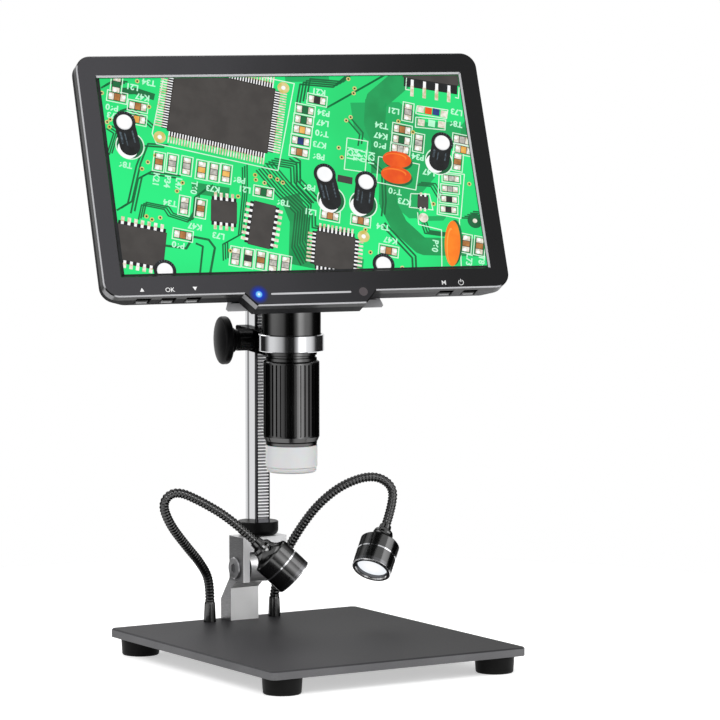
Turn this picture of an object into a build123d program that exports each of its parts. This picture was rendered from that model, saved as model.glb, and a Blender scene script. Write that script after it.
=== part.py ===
from build123d import *
import os
from math import acos, asin, atan, ceil, copysign, cos, floor, pi, radians, sin, sqrt, tan

os.makedirs("parts", exist_ok=True)

# Digital microscope with a flat screen, on a tilting rack stand with two flexible lamps.
# Millimetres. Origin: centre of the base plate's top face. +X right, +Y back, +Z up.

# ---- clearances ----
FREE_GAP = 0.3            # between pieces that move past each other
RUN_GAP = 0.05            # radial clearance of shafts and sliding fits

# ---- base plate and feet ----
PLATE_WIDTH = 170
PLATE_DEPTH = 190
PLATE_THICK = 5
PLATE_CORNER_R = 4
PLATE_CHAMFER = 0.8
SEAT_DEEP = 0.5           # pockets in the plate for the bracket and the lamp sleeves
SEAT_GAP = 0.1
FOOT_R = 11.5
FOOT_TAPER = 0.6
FOOT_HEIGHT = 10
FOOT_INSET_X = 14
FOOT_INSET_Y = 13
SCREW_R = 2
SCREW_HEAD_R = 3.8
SCREW_HEAD_H = 2.4
FOOT_SCREW_BITE = 3.8
FOOT_POCKET = 5

# ---- pivot bracket ----
BRACKET_WIDTH = 19
BRACKET_DEPTH = 12
BRACKET_INSET = 1         # from the plate's back edge
BRACKET_KNEE_Z = 12
BRACKET_SHOULDER = (84.9, 24.1)
BRACKET_CHIN = (74.7, 25.0)
BRACKET_LIP_Z = 19.5
BRACKET_HEAD_R = 9
BRACKET_SCREW_BITE = 9
BRACKET_SCREW_PITCH = 10
PIVOT_Y = 66.3
PIVOT_Z = 33.9
PIVOT_BOLT_R = 3
PIVOT_HEAD_R = 6.5
PIVOT_HEAD_H = 1.8
PIVOT_NUT_FLATS = 10
PIVOT_NUT_H = 5
HEX_SOCKET_FLATS = 5
HEX_SOCKET_DEEP = 1.2

# ---- tilting yoke ----
YOKE_WIDTH = 30
YOKE_DEPTH = 17.1
YOKE_LEG = 4.5
YOKE_FOOT_Z = 26
YOKE_TOP_Z = 52.6
YOKE_INNER_R = 1.5
YOKE_EDGE_R = 0.8
WASHER_R = 7
WASHER_THICK = 0.8

# ---- column, collar and rack ----
HEAD_TURN = -12.4         # how far the column is turned in its collar, degrees
COLLAR_R = 12.2
COLLAR_HEIGHT = 8.4
COLLAR_FLOOR = 2.2
COLLAR_FILLET = 3.4
SWIVEL_SCREW_R = 3
SWIVEL_HEAD_R = 5.4
SWIVEL_HEAD_H = 2.8
SWIVEL_RIM_H = 0.4
SWIVEL_BITE = 8
COLUMN_WIDTH = 9
COLUMN_DEPTH = 21.5
COLUMN_CORNER_R = 1.6
COLUMN_TOP_Z = 230
COLUMN_CAP_H = 3
RACK_WIDTH = 6.6
RACK_THICK = 2.2
RACK_PROUD = 0.2
RACK_END_GAP = 2
GEAR_MODULE = 0.6
PINION_TEETH = 16
PRESSURE_ANGLE = 20
TOOTH_PLAY = 0.09

# ---- carriage ----
CARRIAGE_WIDTH = 16.4
CARRIAGE_LOW_Z = 163.5
CARRIAGE_SPLIT_Z = 173.8
CARRIAGE_TOP_Z = 177
CARRIAGE_BACK = 15
COVER_OVERHANG = 0.6
KNOB_Z = 170.8
SHAFT_R = 2.5
BOSS_R = 6.4
BOSS_LEFT_X = 17.3
BOSS_RIGHT_X = 10.1
SHAFT_HEAD_R = 4.2
SHAFT_HEAD_H = 1.2
GIB_WIDTH = 5
GIB_THICK = 1.5
GIB_END_GAP = 1.5

# ---- focus knob ----
KNOB_R = 14.15
KNOB_HUB_R = 7.3
KNOB_HUB_LEN = 5.5
KNOB_RIM_LEN = 4.9
KNOB_DOME = 1.8
KNOB_EDGE_R = 1.6
KNOB_SHAFT_DEEP = 9

# ---- ring and optical tube ----
REACH = 64                # from the column's centre to the optical axis
RING_R = 19.1
RING_WALL = 1.5
RING_LOW_Z = 168.2
RING_HEIGHT = 9.8
RING_LUG_WIDTH = 9
RING_LUG_LEN = 5
LINER_THICK = 0.95
TUBE_R = 17.1
TUBE_BORE_R = 14
TUBE_FLANGE_R = 20.5
TUBE_FLANGE_H = 2.5
NECK_R = 14.8
NECK_GROOVE = 0.8
BARREL_R = 12.5
BARREL_BORE_R = 10.75
BARREL_LOW_Z = 110
BARREL_SPIGOT = 5
FOCUS_RING_R = 16.27
FOCUS_RING_TOP_Z = 162.4
FOCUS_RING_LOW_Z = 113.7
FOCUS_TAPER_H = 4.8
FOCUS_TAPER_R = 14.7
FOCUS_GROOVE = 0.4
FLUTE_COUNT = 36
FLUTE_WIDTH = 1.15
FLUTE_DEEP = 0.8
FLUTE_MARGIN = 1.4
LENS_R = 7
LENS_THICK = 2.2
LENS_BULGE = 1.3
CARRIER_LOW_Z = 121
CARRIER_LEN = 13
LED_RING_R = 12.3
LED_RING_BORE_R = 6.5
LED_RING_THICK = 1.6
LED_COUNT = 8
LED_SIZE = 2.2
LED_HEIGHT = 0.8
CAP_R = 15.05
CAP_LOW_Z = 97.8
CAP_WALL = 1.7
CAP_WEB = 1.7
CAP_LIP_H = 2.8
CAP_LIP_STEP = 0.6
SENSOR_BOARD = 26
BOARD_THICK = 1.4

# ---- screen housing (x across, depth back from the face, v up the face) ----
SCREEN_LEAN = 24.5        # how far the face leans back, degrees
FACE_AHEAD = 36           # from the optical axis forward to the face's lower edge
FACE_BOTTOM_Z = 204.8
BEZEL_SIDE = 11.7         # from the window to the face's sides
BEZEL_TOP = 13.2
FACE_CORNER_R = 9
FACE_CHAMFER = 0.7
BEZEL_DEPTH = 6
EDGE_DEPTH = 14
TAPER_START = 10
TAPER_SIDE = 6
CASE_WALL = 2.2
WINDOW_WIDTH = 220.6      # the lit area shown of a 10.1 inch wide panel
WINDOW_HEIGHT = 121.1
WINDOW_LOW_V = 12.7
WINDOW_CHAMFER = 1
CHIN_TOP_HALF = 39.7
CHIN_LOW_HALF = 32.6
CHIN_DROP = 7.5
HUMP_HALF = 48            # where it leaves the screen's back; round about the tube behind
HUMP_TUBE_MARGIN = 9
HUMP_LOW_V = -5.5
HUMP_SHOULDER_Z = 236
HUMP_TOP_V = 100
HUMP_EDGE = 1.2
PANEL_SIDE = 4.7          # from the window to the panel's own edges
PANEL_END = 6.2
GLASS_THICK = 2.2
BACKLIGHT_THICK = 2.6
FRAME_THICK = 0.8
STANDOFF_R = 2.6
CASE_SCREW_R = 1.25
CASE_SCREW_HEAD_R = 2.4
CASE_SCREW_HEAD_H = 1.4
CASE_SCREW_INSET_X = 22
CASE_SCREW_LOW_V = 20
CASE_SCREW_TOP_INSET = 22
BOARD_LEFT_X = -60
BOARD_V = (40, 110)
BOARD_DEPTH = 8.8
VENT_COUNT = 8
VENT_PITCH = 4.5
VENT_SIZE = (1.8, 18)
VENT_ASIDE = 12           # from the hump's side to the first vent
VENT_TOP_INSET = 35

# ---- screen controls ----
BUTTON_PITCH = 14.8
BUTTON_INSET_LEFT = 24    # from the face's left side to the outer key
BUTTON_INSET_RIGHT = 23.2
BUTTON_SIZE = (6.6, 3.8)
BUTTON_DEPTH = 9.6
BUTTON_PROUD = 0.3
BUTTON_TRAVEL = 0.7
BUTTON_FLANGE = 0.7
FLANGE_THICK = 0.8
SCOOP_SIZE = (8.2, 5.6)
SCOOP_DEEP = 1
SWITCH_SIZE = 3.5
SWITCH_H = 0.7
KEY_BOARD_DEPTH = 8
LED_X = -31.3
LED_R = 1.2
LED_LENS_LEN = 3
BAR_LENGTH = 48.2
BAR_HEIGHT = 1.1
BAR_THICK = 0.6
BAR_PROUD = 0.1
TRIM_V = -0.6
RECEIVER_X = 31.5
RECEIVER_R = 2.6
RECEIVER_THICK = 1
PORT_DEPTH = 8.4
PORT_LENGTH = 6.4
PORT_RECESS = 0.3
USB_SIZE = (9, 3.2)
CARD_SIZE = (13, 2)
USB_V = 62
CARD_V = 84
PORT_SHELL = 0.4
STATUS_MARGIN = 2

# ---- flexible lamps ----
SLEEVE_Y = 85
SLEEVE_X = 22.3
SLEEVE_BASE_R = 3.65
SLEEVE_TOP_R = 3.05
SLEEVE_HEIGHT = 12
SLEEVE_STUD_R = 2.5
NECK_TUBE_R = 2.6
LAMP_R = 11.9
LAMP_NECK = 12
LAMP_BODY = 20
LAMP_SLEEVE_R = 3.8
LAMP_BOSS_R = 6.1
LAMP_RING_AT = 8.6
LAMP_RING_H = 0.9
LAMP_RING_DEEP = 0.9
LAMP_BORE_R = 9.9
LAMP_BORE_DEEP = 13
LAMP_RIM_R = 9.2
LAMP_BEZEL_H = 2.8
LAMP_LENS_THICK = 1.2
LAMP_LENS_RISE = 0.9
LAMP_BOARD_THICK = 1.6
LEFT_NECK_ROUTE = [
    (-SLEEVE_X, SLEEVE_Y, SLEEVE_HEIGHT), (-23.2, 83, 24.5), (-32, 77.6, 36), (-46.5, 71.8, 49.5),
    (-60.5, 65.6, 63.5), (-67.8, 61.6, 77), (-60.5, 58, 84.2), (-45.5, 53.6, 77), (-29.2, 46.1, 65.8),
    (-17.3, 40, 53.2)]
RIGHT_NECK_ROUTE = [
    (SLEEVE_X, SLEEVE_Y, SLEEVE_HEIGHT), (22.2, 82, 24.5), (24.8, 76.5, 38.5), (31.5, 70.5, 54),
    (41, 64.5, 69), (55, 58.2, 80.8), (72, 52, 85.8), (83.3, 48.5, 79), (81.9, 46, 67.9),
    (73.1, 40, 55.9)]
NECK_CORNER_SHARE = 0.45  # share of the shorter run that each corner's arc takes


# ---- places worked out from the sizes ----
IN_COLUMN = Pos(0, PIVOT_Y, 0) * Rot(0, 0, HEAD_TURN)
IN_TUBE = IN_COLUMN * Pos(0, -REACH, 0)
ON_FACE = Pos(0, -(REACH + FACE_AHEAD), FACE_BOTTOM_Z) * Rot(-SCREEN_LEAN, 0, 0)
IN_SCREEN = IN_COLUMN * ON_FACE

YOKE_GAP = YOKE_WIDTH - 2 * YOKE_LEG
YOKE_ROOF_Z = PIVOT_Z + BRACKET_HEAD_R + 1.7
COLLAR_LOW_Z = YOKE_TOP_Z + FREE_GAP
COLLAR_TOP_Z = COLLAR_LOW_Z + COLLAR_HEIGHT
COLUMN_FOOT_Z = COLLAR_LOW_Z + COLLAR_FLOOR
RACK_TIP_Y = -(COLUMN_DEPTH / 2 + RACK_PROUD)
PITCH_LINE_Y = RACK_TIP_Y + GEAR_MODULE
PINION_WIDTH = RACK_WIDTH - 2 * FREE_GAP
PINION_PITCH_R = GEAR_MODULE * PINION_TEETH / 2
PINION_Y = PITCH_LINE_Y - PINION_PITCH_R - RUN_GAP
TOOTH_PITCH = pi * GEAR_MODULE
DEDENDUM = 1.25 * GEAR_MODULE
PINION_TIP_R = PINION_PITCH_R + GEAR_MODULE
RING_TOP_Z = RING_LOW_Z + RING_HEIGHT
RING_BORE_R = RING_R - RING_WALL
LINER_BORE_R = RING_BORE_R - LINER_THICK
TUBE_SEAT_R = LINER_BORE_R - RUN_GAP
NECK_LOW_Z = FOCUS_RING_TOP_Z + FREE_GAP
CAP_TOP_Z = FOCUS_RING_LOW_Z - FREE_GAP
FACE_WIDTH = WINDOW_WIDTH + 2 * BEZEL_SIDE
FACE_HEIGHT = WINDOW_LOW_V + WINDOW_HEIGHT + BEZEL_TOP
PANEL_WIDTH = WINDOW_WIDTH + 2 * PANEL_SIDE
PANEL_HEIGHT = WINDOW_HEIGHT + 2 * PANEL_END
PANEL_LOW_V = WINDOW_LOW_V - PANEL_END
CASE_SCREW_X = FACE_WIDTH / 2 - CASE_SCREW_INSET_X
VENT_X = HUMP_HALF + VENT_ASIDE
VENT_V = FACE_HEIGHT - VENT_TOP_INSET
BACKLIGHT_DEPTH = CASE_WALL + GLASS_THICK
FRAME_DEPTH = BACKLIGHT_DEPTH + BACKLIGHT_THICK
FRAME_BACK = FRAME_DEPTH + FRAME_THICK
REAR_WALL_DEPTH = EDGE_DEPTH - CASE_WALL


def face_point(v, depth):
    """(y, z) beside the column of a point v up the leaning face and depth behind it."""
    lean = radians(SCREEN_LEAN)
    y = -(REACH + FACE_AHEAD) + depth * cos(lean) + v * sin(lean)
    z = FACE_BOTTOM_Z - depth * sin(lean) + v * cos(lean)
    return (y, z)


HUMP_FLOOR_Z = face_point(HUMP_LOW_V, EDGE_DEPTH)[1]
HUMP_BACK_R = TUBE_R + HUMP_TUBE_MARGIN


# ---- shared shapes ----
def disc(radius, z_low, z_high):
    return Pos(0, 0, (z_low + z_high) / 2) * Cylinder(radius, z_high - z_low)


def washer(outer_r, inner_r, z_low, z_high):
    return disc(outer_r, z_low, z_high) - disc(inner_r, z_low, z_high)


def rod_x(radius, x_low, x_high, y=0, z=0):
    """A round bar along X."""
    return Pos((x_low + x_high) / 2, y, z) * Rot(0, 90, 0) * Cylinder(radius, x_high - x_low)


def block(x_span, y_span, z_span):
    sizes = [high - low for low, high in (x_span, y_span, z_span)]
    middle = [(low + high) / 2 for low, high in (x_span, y_span, z_span)]
    return Pos(*middle) * Box(*sizes)


def turned(*lines):
    """A solid turned about Z from the closed outline of its right half, (radius, height)."""
    edges = [edge for line in lines for edge in line.edges()]
    return revolve(Plane.XZ * make_face(edges), Axis.Z)


def turned_points(*points):
    return revolve(Plane.XZ * make_face(Polyline(*points, close=True)), Axis.Z)


def dome(rim_r, rim_z, crown_z):
    """An arc from a rim in to the crown on the axis, of a sphere centred on the axis."""
    rise = crown_z - rim_z
    sphere_r = (rim_r ** 2 + rise ** 2) / (2 * abs(rise))
    centre_z = crown_z - copysign(sphere_r, rise)
    half_turn = asin(rim_r / sphere_r) / 2
    middle = (sphere_r * sin(half_turn), centre_z + copysign(sphere_r * cos(half_turn), rise))
    return ThreePointArc((rim_r, rim_z), middle, (0, crown_z))


def side_prism(points, width):
    """A prism across X from a closed outline given as (y, z) points."""
    return extrude(Plane.YZ * make_face(Polyline(*points, close=True)), width / 2, both=True)


def slab(sketch, depth_front, depth_back):
    """A sketch on the screen's face, made solid between two depths."""
    return Pos(0, depth_front, 0) * extrude(Plane.XZ * sketch, -(depth_back - depth_front))


def rounded_panel(width, height, corner_r, low_v):
    return Pos(0, low_v + height / 2) * RectangleRounded(width, height, corner_r)


def plain_panel(x_span, v_span):
    size = (x_span[1] - x_span[0], v_span[1] - v_span[0])
    return Pos(sum(x_span) / 2, sum(v_span) / 2) * Rectangle(*size)


def dot(x, v, radius):
    return Pos(x, v) * Circle(radius)


def column_section(gap=0):
    return RectangleRounded(COLUMN_WIDTH + 2 * gap, COLUMN_DEPTH + 2 * gap, COLUMN_CORNER_R)


def hexagon(flats):
    return RegularPolygon(flats / sqrt(3), 6)


# ---- base ----
def foot_places():
    x = PLATE_WIDTH / 2 - FOOT_INSET_X
    y = PLATE_DEPTH / 2 - FOOT_INSET_Y
    return [Pos(side * x, end * y, -PLATE_THICK) for side in (-1, 1) for end in (-1, 1)]


def bracket_back_y():
    return PLATE_DEPTH / 2 - BRACKET_INSET


def bracket_screw_places():
    y = bracket_back_y() - BRACKET_DEPTH / 2
    return [Pos(side * BRACKET_SCREW_PITCH / 2, y, -PLATE_THICK) for side in (-1, 1)]


def base_plate():
    plate = Box(PLATE_WIDTH, PLATE_DEPTH, PLATE_THICK, align=(Align.CENTER, Align.CENTER, Align.MAX))
    plate = fillet(plate.edges().filter_by(Axis.Z), PLATE_CORNER_R)
    plate = chamfer(plate.faces().sort_by(Axis.Z)[-1].edges(), PLATE_CHAMFER)
    for place in foot_places():
        plate -= place * disc(SCREW_R, 0, FOOT_SCREW_BITE)
    for place in bracket_screw_places():
        plate -= place * disc(SCREW_R, 0, PLATE_THICK)
        plate -= place * disc(SCREW_HEAD_R, 0, SCREW_HEAD_H)
    half = BRACKET_WIDTH / 2 + SEAT_GAP
    back = bracket_back_y()
    plate -= block((-half, half), (back - BRACKET_DEPTH - SEAT_GAP, back + SEAT_GAP), (-SEAT_DEEP, 0))
    for side in (-1, 1):
        hole = disc(SLEEVE_STUD_R, -PLATE_THICK, 0) + disc(SLEEVE_BASE_R + SEAT_GAP, -SEAT_DEEP, 0)
        plate -= Pos(side * SLEEVE_X, SLEEVE_Y, 0) * hole
    return plate


def rubber_foot():
    low_r = FOOT_R - FOOT_TAPER
    edge = FOOT_TAPER
    body = turned_points(
        (0, -FOOT_HEIGHT), (low_r - edge, -FOOT_HEIGHT), (low_r, edge - FOOT_HEIGHT),
        (FOOT_R, -edge), (FOOT_R - edge, 0), (0, 0))
    return body - disc(SCREW_R, -FOOT_HEIGHT, 0) - disc(SCREW_HEAD_R + 0.4, -FOOT_HEIGHT, FOOT_POCKET - FOOT_HEIGHT)


def base_screw(shank_low, shank_high, head_low):
    """A round-head screw: a shank between two heights, and a head with a socket on its low side."""
    head = disc(SCREW_HEAD_R, head_low, head_low + SCREW_HEAD_H)
    socket = Pos(0, 0, head_low) * extrude(hexagon(SCREW_R * 1.25), SCREW_HEAD_H / 2)
    return head + disc(SCREW_R, shank_low, shank_high) - socket


def base_screws():
    head_low = FOOT_POCKET - FOOT_HEIGHT - SCREW_HEAD_H
    foot_screw = base_screw(FOOT_POCKET - FOOT_HEIGHT, FOOT_SCREW_BITE, head_low)
    bracket_screw = base_screw(SCREW_HEAD_H, PLATE_THICK + BRACKET_SCREW_BITE, 0)
    screws = [place * foot_screw for place in foot_places()]
    screws += [place * bracket_screw for place in bracket_screw_places()]
    return Compound(screws)


def tangent_point(point, radius, side):
    """Where a line from point (y, z) touches the pivot head's circle, on the given side."""
    dy = point[0] - PIVOT_Y
    dz = point[1] - PIVOT_Z
    reach = sqrt(dy * dy + dz * dz)
    turn = side * acos(radius / reach)
    unit_y = (dy * cos(turn) - dz * sin(turn)) / reach
    unit_z = (dy * sin(turn) + dz * cos(turn)) / reach
    return (PIVOT_Y + radius * unit_y, PIVOT_Z + radius * unit_z)


def pivot_bracket():
    back = bracket_back_y()
    front = back - BRACKET_DEPTH
    outline = [
        (front, -SEAT_DEEP), (back, -SEAT_DEEP), (back, BRACKET_KNEE_Z), BRACKET_SHOULDER,
        tangent_point(BRACKET_SHOULDER, BRACKET_HEAD_R, 1), (PIVOT_Y, PIVOT_Z),
        tangent_point(BRACKET_CHIN, BRACKET_HEAD_R, -1), BRACKET_CHIN, (front, BRACKET_LIP_Z)]
    half = BRACKET_WIDTH / 2
    arm = side_prism(outline, BRACKET_WIDTH) + rod_x(BRACKET_HEAD_R, -half, half, PIVOT_Y, PIVOT_Z)
    arm -= rod_x(PIVOT_BOLT_R + RUN_GAP, -half, half, PIVOT_Y, PIVOT_Z)
    for place in bracket_screw_places():
        arm -= place * disc(SCREW_R, PLATE_THICK - SEAT_DEEP, PLATE_THICK + BRACKET_SCREW_BITE)
    return arm


# ---- tilting yoke ----
def tilt_yoke():
    half = YOKE_WIDTH / 2
    low_y = PIVOT_Y - YOKE_DEPTH / 2
    high_y = PIVOT_Y + YOKE_DEPTH / 2
    yoke = block((-half, half), (low_y, high_y), (YOKE_FOOT_Z, YOKE_TOP_Z))
    yoke = fillet(yoke.edges().filter_by(Axis.Z), YOKE_EDGE_R)
    gap = block((-YOKE_GAP / 2, YOKE_GAP / 2), (low_y, high_y), (YOKE_FOOT_Z, YOKE_ROOF_Z))
    yoke -= fillet(gap.edges().filter_by(Axis.Y).group_by(Axis.Z)[-1], YOKE_INNER_R)
    yoke -= rod_x(PIVOT_BOLT_R, -half, half, PIVOT_Y, PIVOT_Z)
    screw_way = disc(SWIVEL_SCREW_R + RUN_GAP, YOKE_ROOF_Z, YOKE_TOP_Z)
    seat = swivel_head(YOKE_ROOF_Z, RUN_GAP)
    return yoke - Pos(0, PIVOT_Y, 0) * (screw_way + seat)


def swivel_head(low_z, gap):
    """The countersunk head under the yoke's roof, or its seat when gap is more than nothing."""
    wide = SWIVEL_HEAD_R + gap
    narrow = SWIVEL_SCREW_R + gap
    rim = low_z + SWIVEL_RIM_H + 2 * gap
    top = rim + SWIVEL_HEAD_H
    return turned_points((0, low_z), (wide, low_z), (wide, rim), (narrow, top), (0, top))


def pivot_bolt():
    half = YOKE_WIDTH / 2
    bolt = rod_x(PIVOT_BOLT_R, -half, half + PIVOT_NUT_H, PIVOT_Y, PIVOT_Z)
    head = rod_x(PIVOT_HEAD_R, -half - PIVOT_HEAD_H, -half, PIVOT_Y, PIVOT_Z)
    head = chamfer(head.faces().sort_by(Axis.X)[0].edges(), PIVOT_HEAD_H / 3)
    place = Pos(-half - PIVOT_HEAD_H, PIVOT_Y, PIVOT_Z) * Rot(0, 90, 0)
    return bolt + head - place * extrude(hexagon(HEX_SOCKET_FLATS), HEX_SOCKET_DEEP)


def pivot_nut():
    half = YOKE_WIDTH / 2
    nut = Pos(half, PIVOT_Y, PIVOT_Z) * Rot(0, 90, 0) * extrude(hexagon(PIVOT_NUT_FLATS), PIVOT_NUT_H)
    return nut - rod_x(PIVOT_BOLT_R, half, half + PIVOT_NUT_H, PIVOT_Y, PIVOT_Z)


def friction_washers():
    outer = YOKE_GAP / 2
    inner = outer - WASHER_THICK
    washers = []
    for low, high in ((-outer, -inner), (inner, outer)):
        ring = rod_x(WASHER_R, low, high, PIVOT_Y, PIVOT_Z) - rod_x(PIVOT_BOLT_R, low, high, PIVOT_Y, PIVOT_Z)
        washers.append(ring)
    return Compound(washers)


# ---- column ----
def swivel_collar():
    collar = disc(COLLAR_R, COLLAR_LOW_Z, COLLAR_TOP_Z)
    collar = fillet(collar.faces().sort_by(Axis.Z)[0].edges(), COLLAR_FILLET)
    collar = chamfer(collar.faces().sort_by(Axis.Z)[-1].edges(), 0.4)
    collar -= disc(SWIVEL_SCREW_R, COLLAR_LOW_Z, COLUMN_FOOT_Z)
    return collar - Pos(0, 0, COLUMN_FOOT_Z) * extrude(column_section(), COLLAR_TOP_Z - COLUMN_FOOT_Z)


def swivel_screw():
    low_z = YOKE_ROOF_Z + RUN_GAP
    shank = disc(SWIVEL_SCREW_R, low_z, COLUMN_FOOT_Z + SWIVEL_BITE)
    socket = Pos(0, 0, low_z) * extrude(hexagon(4), 1.6)
    return shank + swivel_head(low_z, 0) - socket


def rack_span():
    return (COLLAR_TOP_Z + RACK_END_GAP, COLUMN_TOP_Z - RACK_END_GAP)


def rack_seat():
    front = -COLUMN_DEPTH / 2 - RACK_PROUD
    half = RACK_WIDTH / 2
    return block((-half, half), (front, front + RACK_PROUD + RACK_THICK), rack_span())


def column_bar():
    bar = Pos(0, 0, COLUMN_FOOT_Z) * extrude(column_section(), COLUMN_TOP_Z - COLUMN_FOOT_Z)
    return bar - rack_seat() - disc(SWIVEL_SCREW_R, COLUMN_FOOT_Z, COLUMN_FOOT_Z + SWIVEL_BITE)


def rack_strip():
    """Straight teeth along the column, with one tooth level with the pinion's centre."""
    low_z, high_z = rack_span()
    slope = tan(radians(PRESSURE_ANGLE))
    half_pitch = (TOOTH_PITCH / 2 - TOOTH_PLAY) / 2
    tip_half = half_pitch - GEAR_MODULE * slope
    root_half = half_pitch + DEDENDUM * slope
    root_y = PITCH_LINE_Y + DEDENDUM
    back_y = -COLUMN_DEPTH / 2 + RACK_THICK
    first = ceil((low_z + root_half - KNOB_Z) / TOOTH_PITCH)
    last = floor((high_z - root_half - KNOB_Z) / TOOTH_PITCH)
    points = [(back_y, low_z), (root_y, low_z)]
    for tooth in range(first, last + 1):
        z = KNOB_Z + tooth * TOOTH_PITCH
        points += [(root_y, z - root_half), (RACK_TIP_Y, z - tip_half)]
        points += [(RACK_TIP_Y, z + tip_half), (root_y, z + root_half)]
    points += [(root_y, high_z), (back_y, high_z)]
    return side_prism(points, RACK_WIDTH)


def column_cap():
    cap = Pos(0, 0, COLUMN_TOP_Z) * extrude(column_section(), COLUMN_CAP_H)
    return chamfer(cap.faces().sort_by(Axis.Z)[-1].edges(), 0.8)


# ---- carriage ----
def ring_way(low_z, high_z):
    return Pos(0, -REACH, 0) * disc(RING_R, low_z, high_z)


def ring_lug():
    half = RING_LUG_WIDTH / 2
    back = -REACH + RING_R + RING_LUG_LEN
    return block((-half, half), (back - RING_LUG_LEN - RING_WALL, back), (RING_LOW_Z, CARRIAGE_SPLIT_Z))


def gib_pad():
    back = COLUMN_DEPTH / 2
    half = GIB_WIDTH / 2
    z_span = (CARRIAGE_LOW_Z + GIB_END_GAP, CARRIAGE_SPLIT_Z)
    return block((-half, half), (back + RUN_GAP, back + RUN_GAP + GIB_THICK), z_span)


def carriage_body():
    half = CARRIAGE_WIDTH / 2
    front = -REACH + RING_R - 2
    body = block((-half, half), (front, CARRIAGE_BACK), (CARRIAGE_LOW_Z, CARRIAGE_SPLIT_Z))
    body = fillet(body.edges().filter_by(Axis.Z), 1)
    body += rod_x(BOSS_R, -BOSS_LEFT_X, BOSS_RIGHT_X, PINION_Y, KNOB_Z)
    body -= block((-BOSS_LEFT_X, BOSS_RIGHT_X), (PINION_Y - BOSS_R, PINION_Y + BOSS_R),
                  (CARRIAGE_SPLIT_Z, CARRIAGE_TOP_Z + 1))
    height = CARRIAGE_SPLIT_Z - CARRIAGE_LOW_Z
    body -= Pos(0, 0, CARRIAGE_LOW_Z) * extrude(column_section(FREE_GAP), height)
    body -= rod_x(PINION_TIP_R + FREE_GAP, -PINION_WIDTH / 2 - FREE_GAP, PINION_WIDTH / 2 + FREE_GAP,
                  PINION_Y, KNOB_Z)
    body -= rod_x(SHAFT_R + RUN_GAP, -BOSS_LEFT_X, BOSS_RIGHT_X, PINION_Y, KNOB_Z)
    body -= ring_way(CARRIAGE_LOW_Z, CARRIAGE_SPLIT_Z)
    return body - ring_lug() - gib_pad()


def carriage_cover():
    """The capping plate: its underside closes the boss tops and the pinion's pocket."""
    half = CARRIAGE_WIDTH / 2 + COVER_OVERHANG
    front = -REACH + RING_R - 2
    cover = block((-half, half), (front, CARRIAGE_BACK + COVER_OVERHANG), (CARRIAGE_SPLIT_Z, CARRIAGE_TOP_Z))
    cover = fillet(cover.edges().filter_by(Axis.Z), 1)
    cover = chamfer(cover.faces().sort_by(Axis.Z)[-1].edges(), 0.6)
    caps = rod_x(BOSS_R, -BOSS_LEFT_X, BOSS_RIGHT_X, PINION_Y, KNOB_Z)
    caps -= block((-BOSS_LEFT_X, BOSS_RIGHT_X), (PINION_Y - BOSS_R, PINION_Y + BOSS_R),
                  (KNOB_Z - BOSS_R, CARRIAGE_SPLIT_Z))
    cover += caps
    height = CARRIAGE_TOP_Z - CARRIAGE_SPLIT_Z
    cover -= Pos(0, 0, CARRIAGE_SPLIT_Z) * extrude(column_section(FREE_GAP), height)
    cover -= rod_x(PINION_TIP_R + FREE_GAP, -PINION_WIDTH / 2 - FREE_GAP, PINION_WIDTH / 2 + FREE_GAP,
                   PINION_Y, KNOB_Z)
    return cover - ring_way(CARRIAGE_SPLIT_Z, RING_TOP_Z)


def clamp_ring():
    ring = ring_way(RING_LOW_Z, RING_TOP_Z)
    ring = chamfer(ring.edges().filter_by(GeomType.CIRCLE), 0.4)
    ring += ring_lug()
    return ring - Pos(0, -REACH, 0) * disc(RING_BORE_R, RING_LOW_Z, RING_TOP_Z)


def ring_liner():
    return washer(RING_BORE_R, LINER_BORE_R, RING_LOW_Z, RING_TOP_Z)


# ---- focus knob and pinion ----
def involute(base_r, radius):
    """How far round, in radians, the involute from base_r has turned at radius."""
    roll = sqrt(max((radius / base_r) ** 2 - 1, 0))
    return roll - atan(roll)


def pinion_outline():
    """Points of a spur pinion's edge, with a gap centred on the rack side."""
    base_r = PINION_PITCH_R * cos(radians(PRESSURE_ANGLE))
    root_r = PINION_PITCH_R - DEDENDUM
    tooth_half = (TOOTH_PITCH / 2 - TOOTH_PLAY) / 2 / PINION_PITCH_R
    at_pitch = involute(base_r, PINION_PITCH_R)
    flank = [(root_r, tooth_half + at_pitch)]
    steps = 4
    for step in range(steps + 1):
        radius = base_r + (PINION_TIP_R - base_r) * step / steps
        flank.append((radius, tooth_half + at_pitch - involute(base_r, radius)))
    points = []
    for tooth in range(PINION_TEETH):
        middle = 2 * pi * (tooth + 0.5) / PINION_TEETH
        for radius, half in flank:
            points.append((radius * cos(middle - half), radius * sin(middle - half)))
        for radius, half in reversed(flank):
            points.append((radius * cos(middle + half), radius * sin(middle + half)))
    return points


def pinion_shaft():
    teeth = Pos(0, PINION_Y, KNOB_Z) * side_prism(pinion_outline(), PINION_WIDTH)
    left = -BOSS_LEFT_X - FREE_GAP - KNOB_SHAFT_DEEP
    right = BOSS_RIGHT_X + FREE_GAP
    shaft = rod_x(SHAFT_R, left, right, PINION_Y, KNOB_Z)
    head = rod_x(SHAFT_HEAD_R, right, right + SHAFT_HEAD_H, PINION_Y, KNOB_Z)
    return teeth + shaft + head


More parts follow.
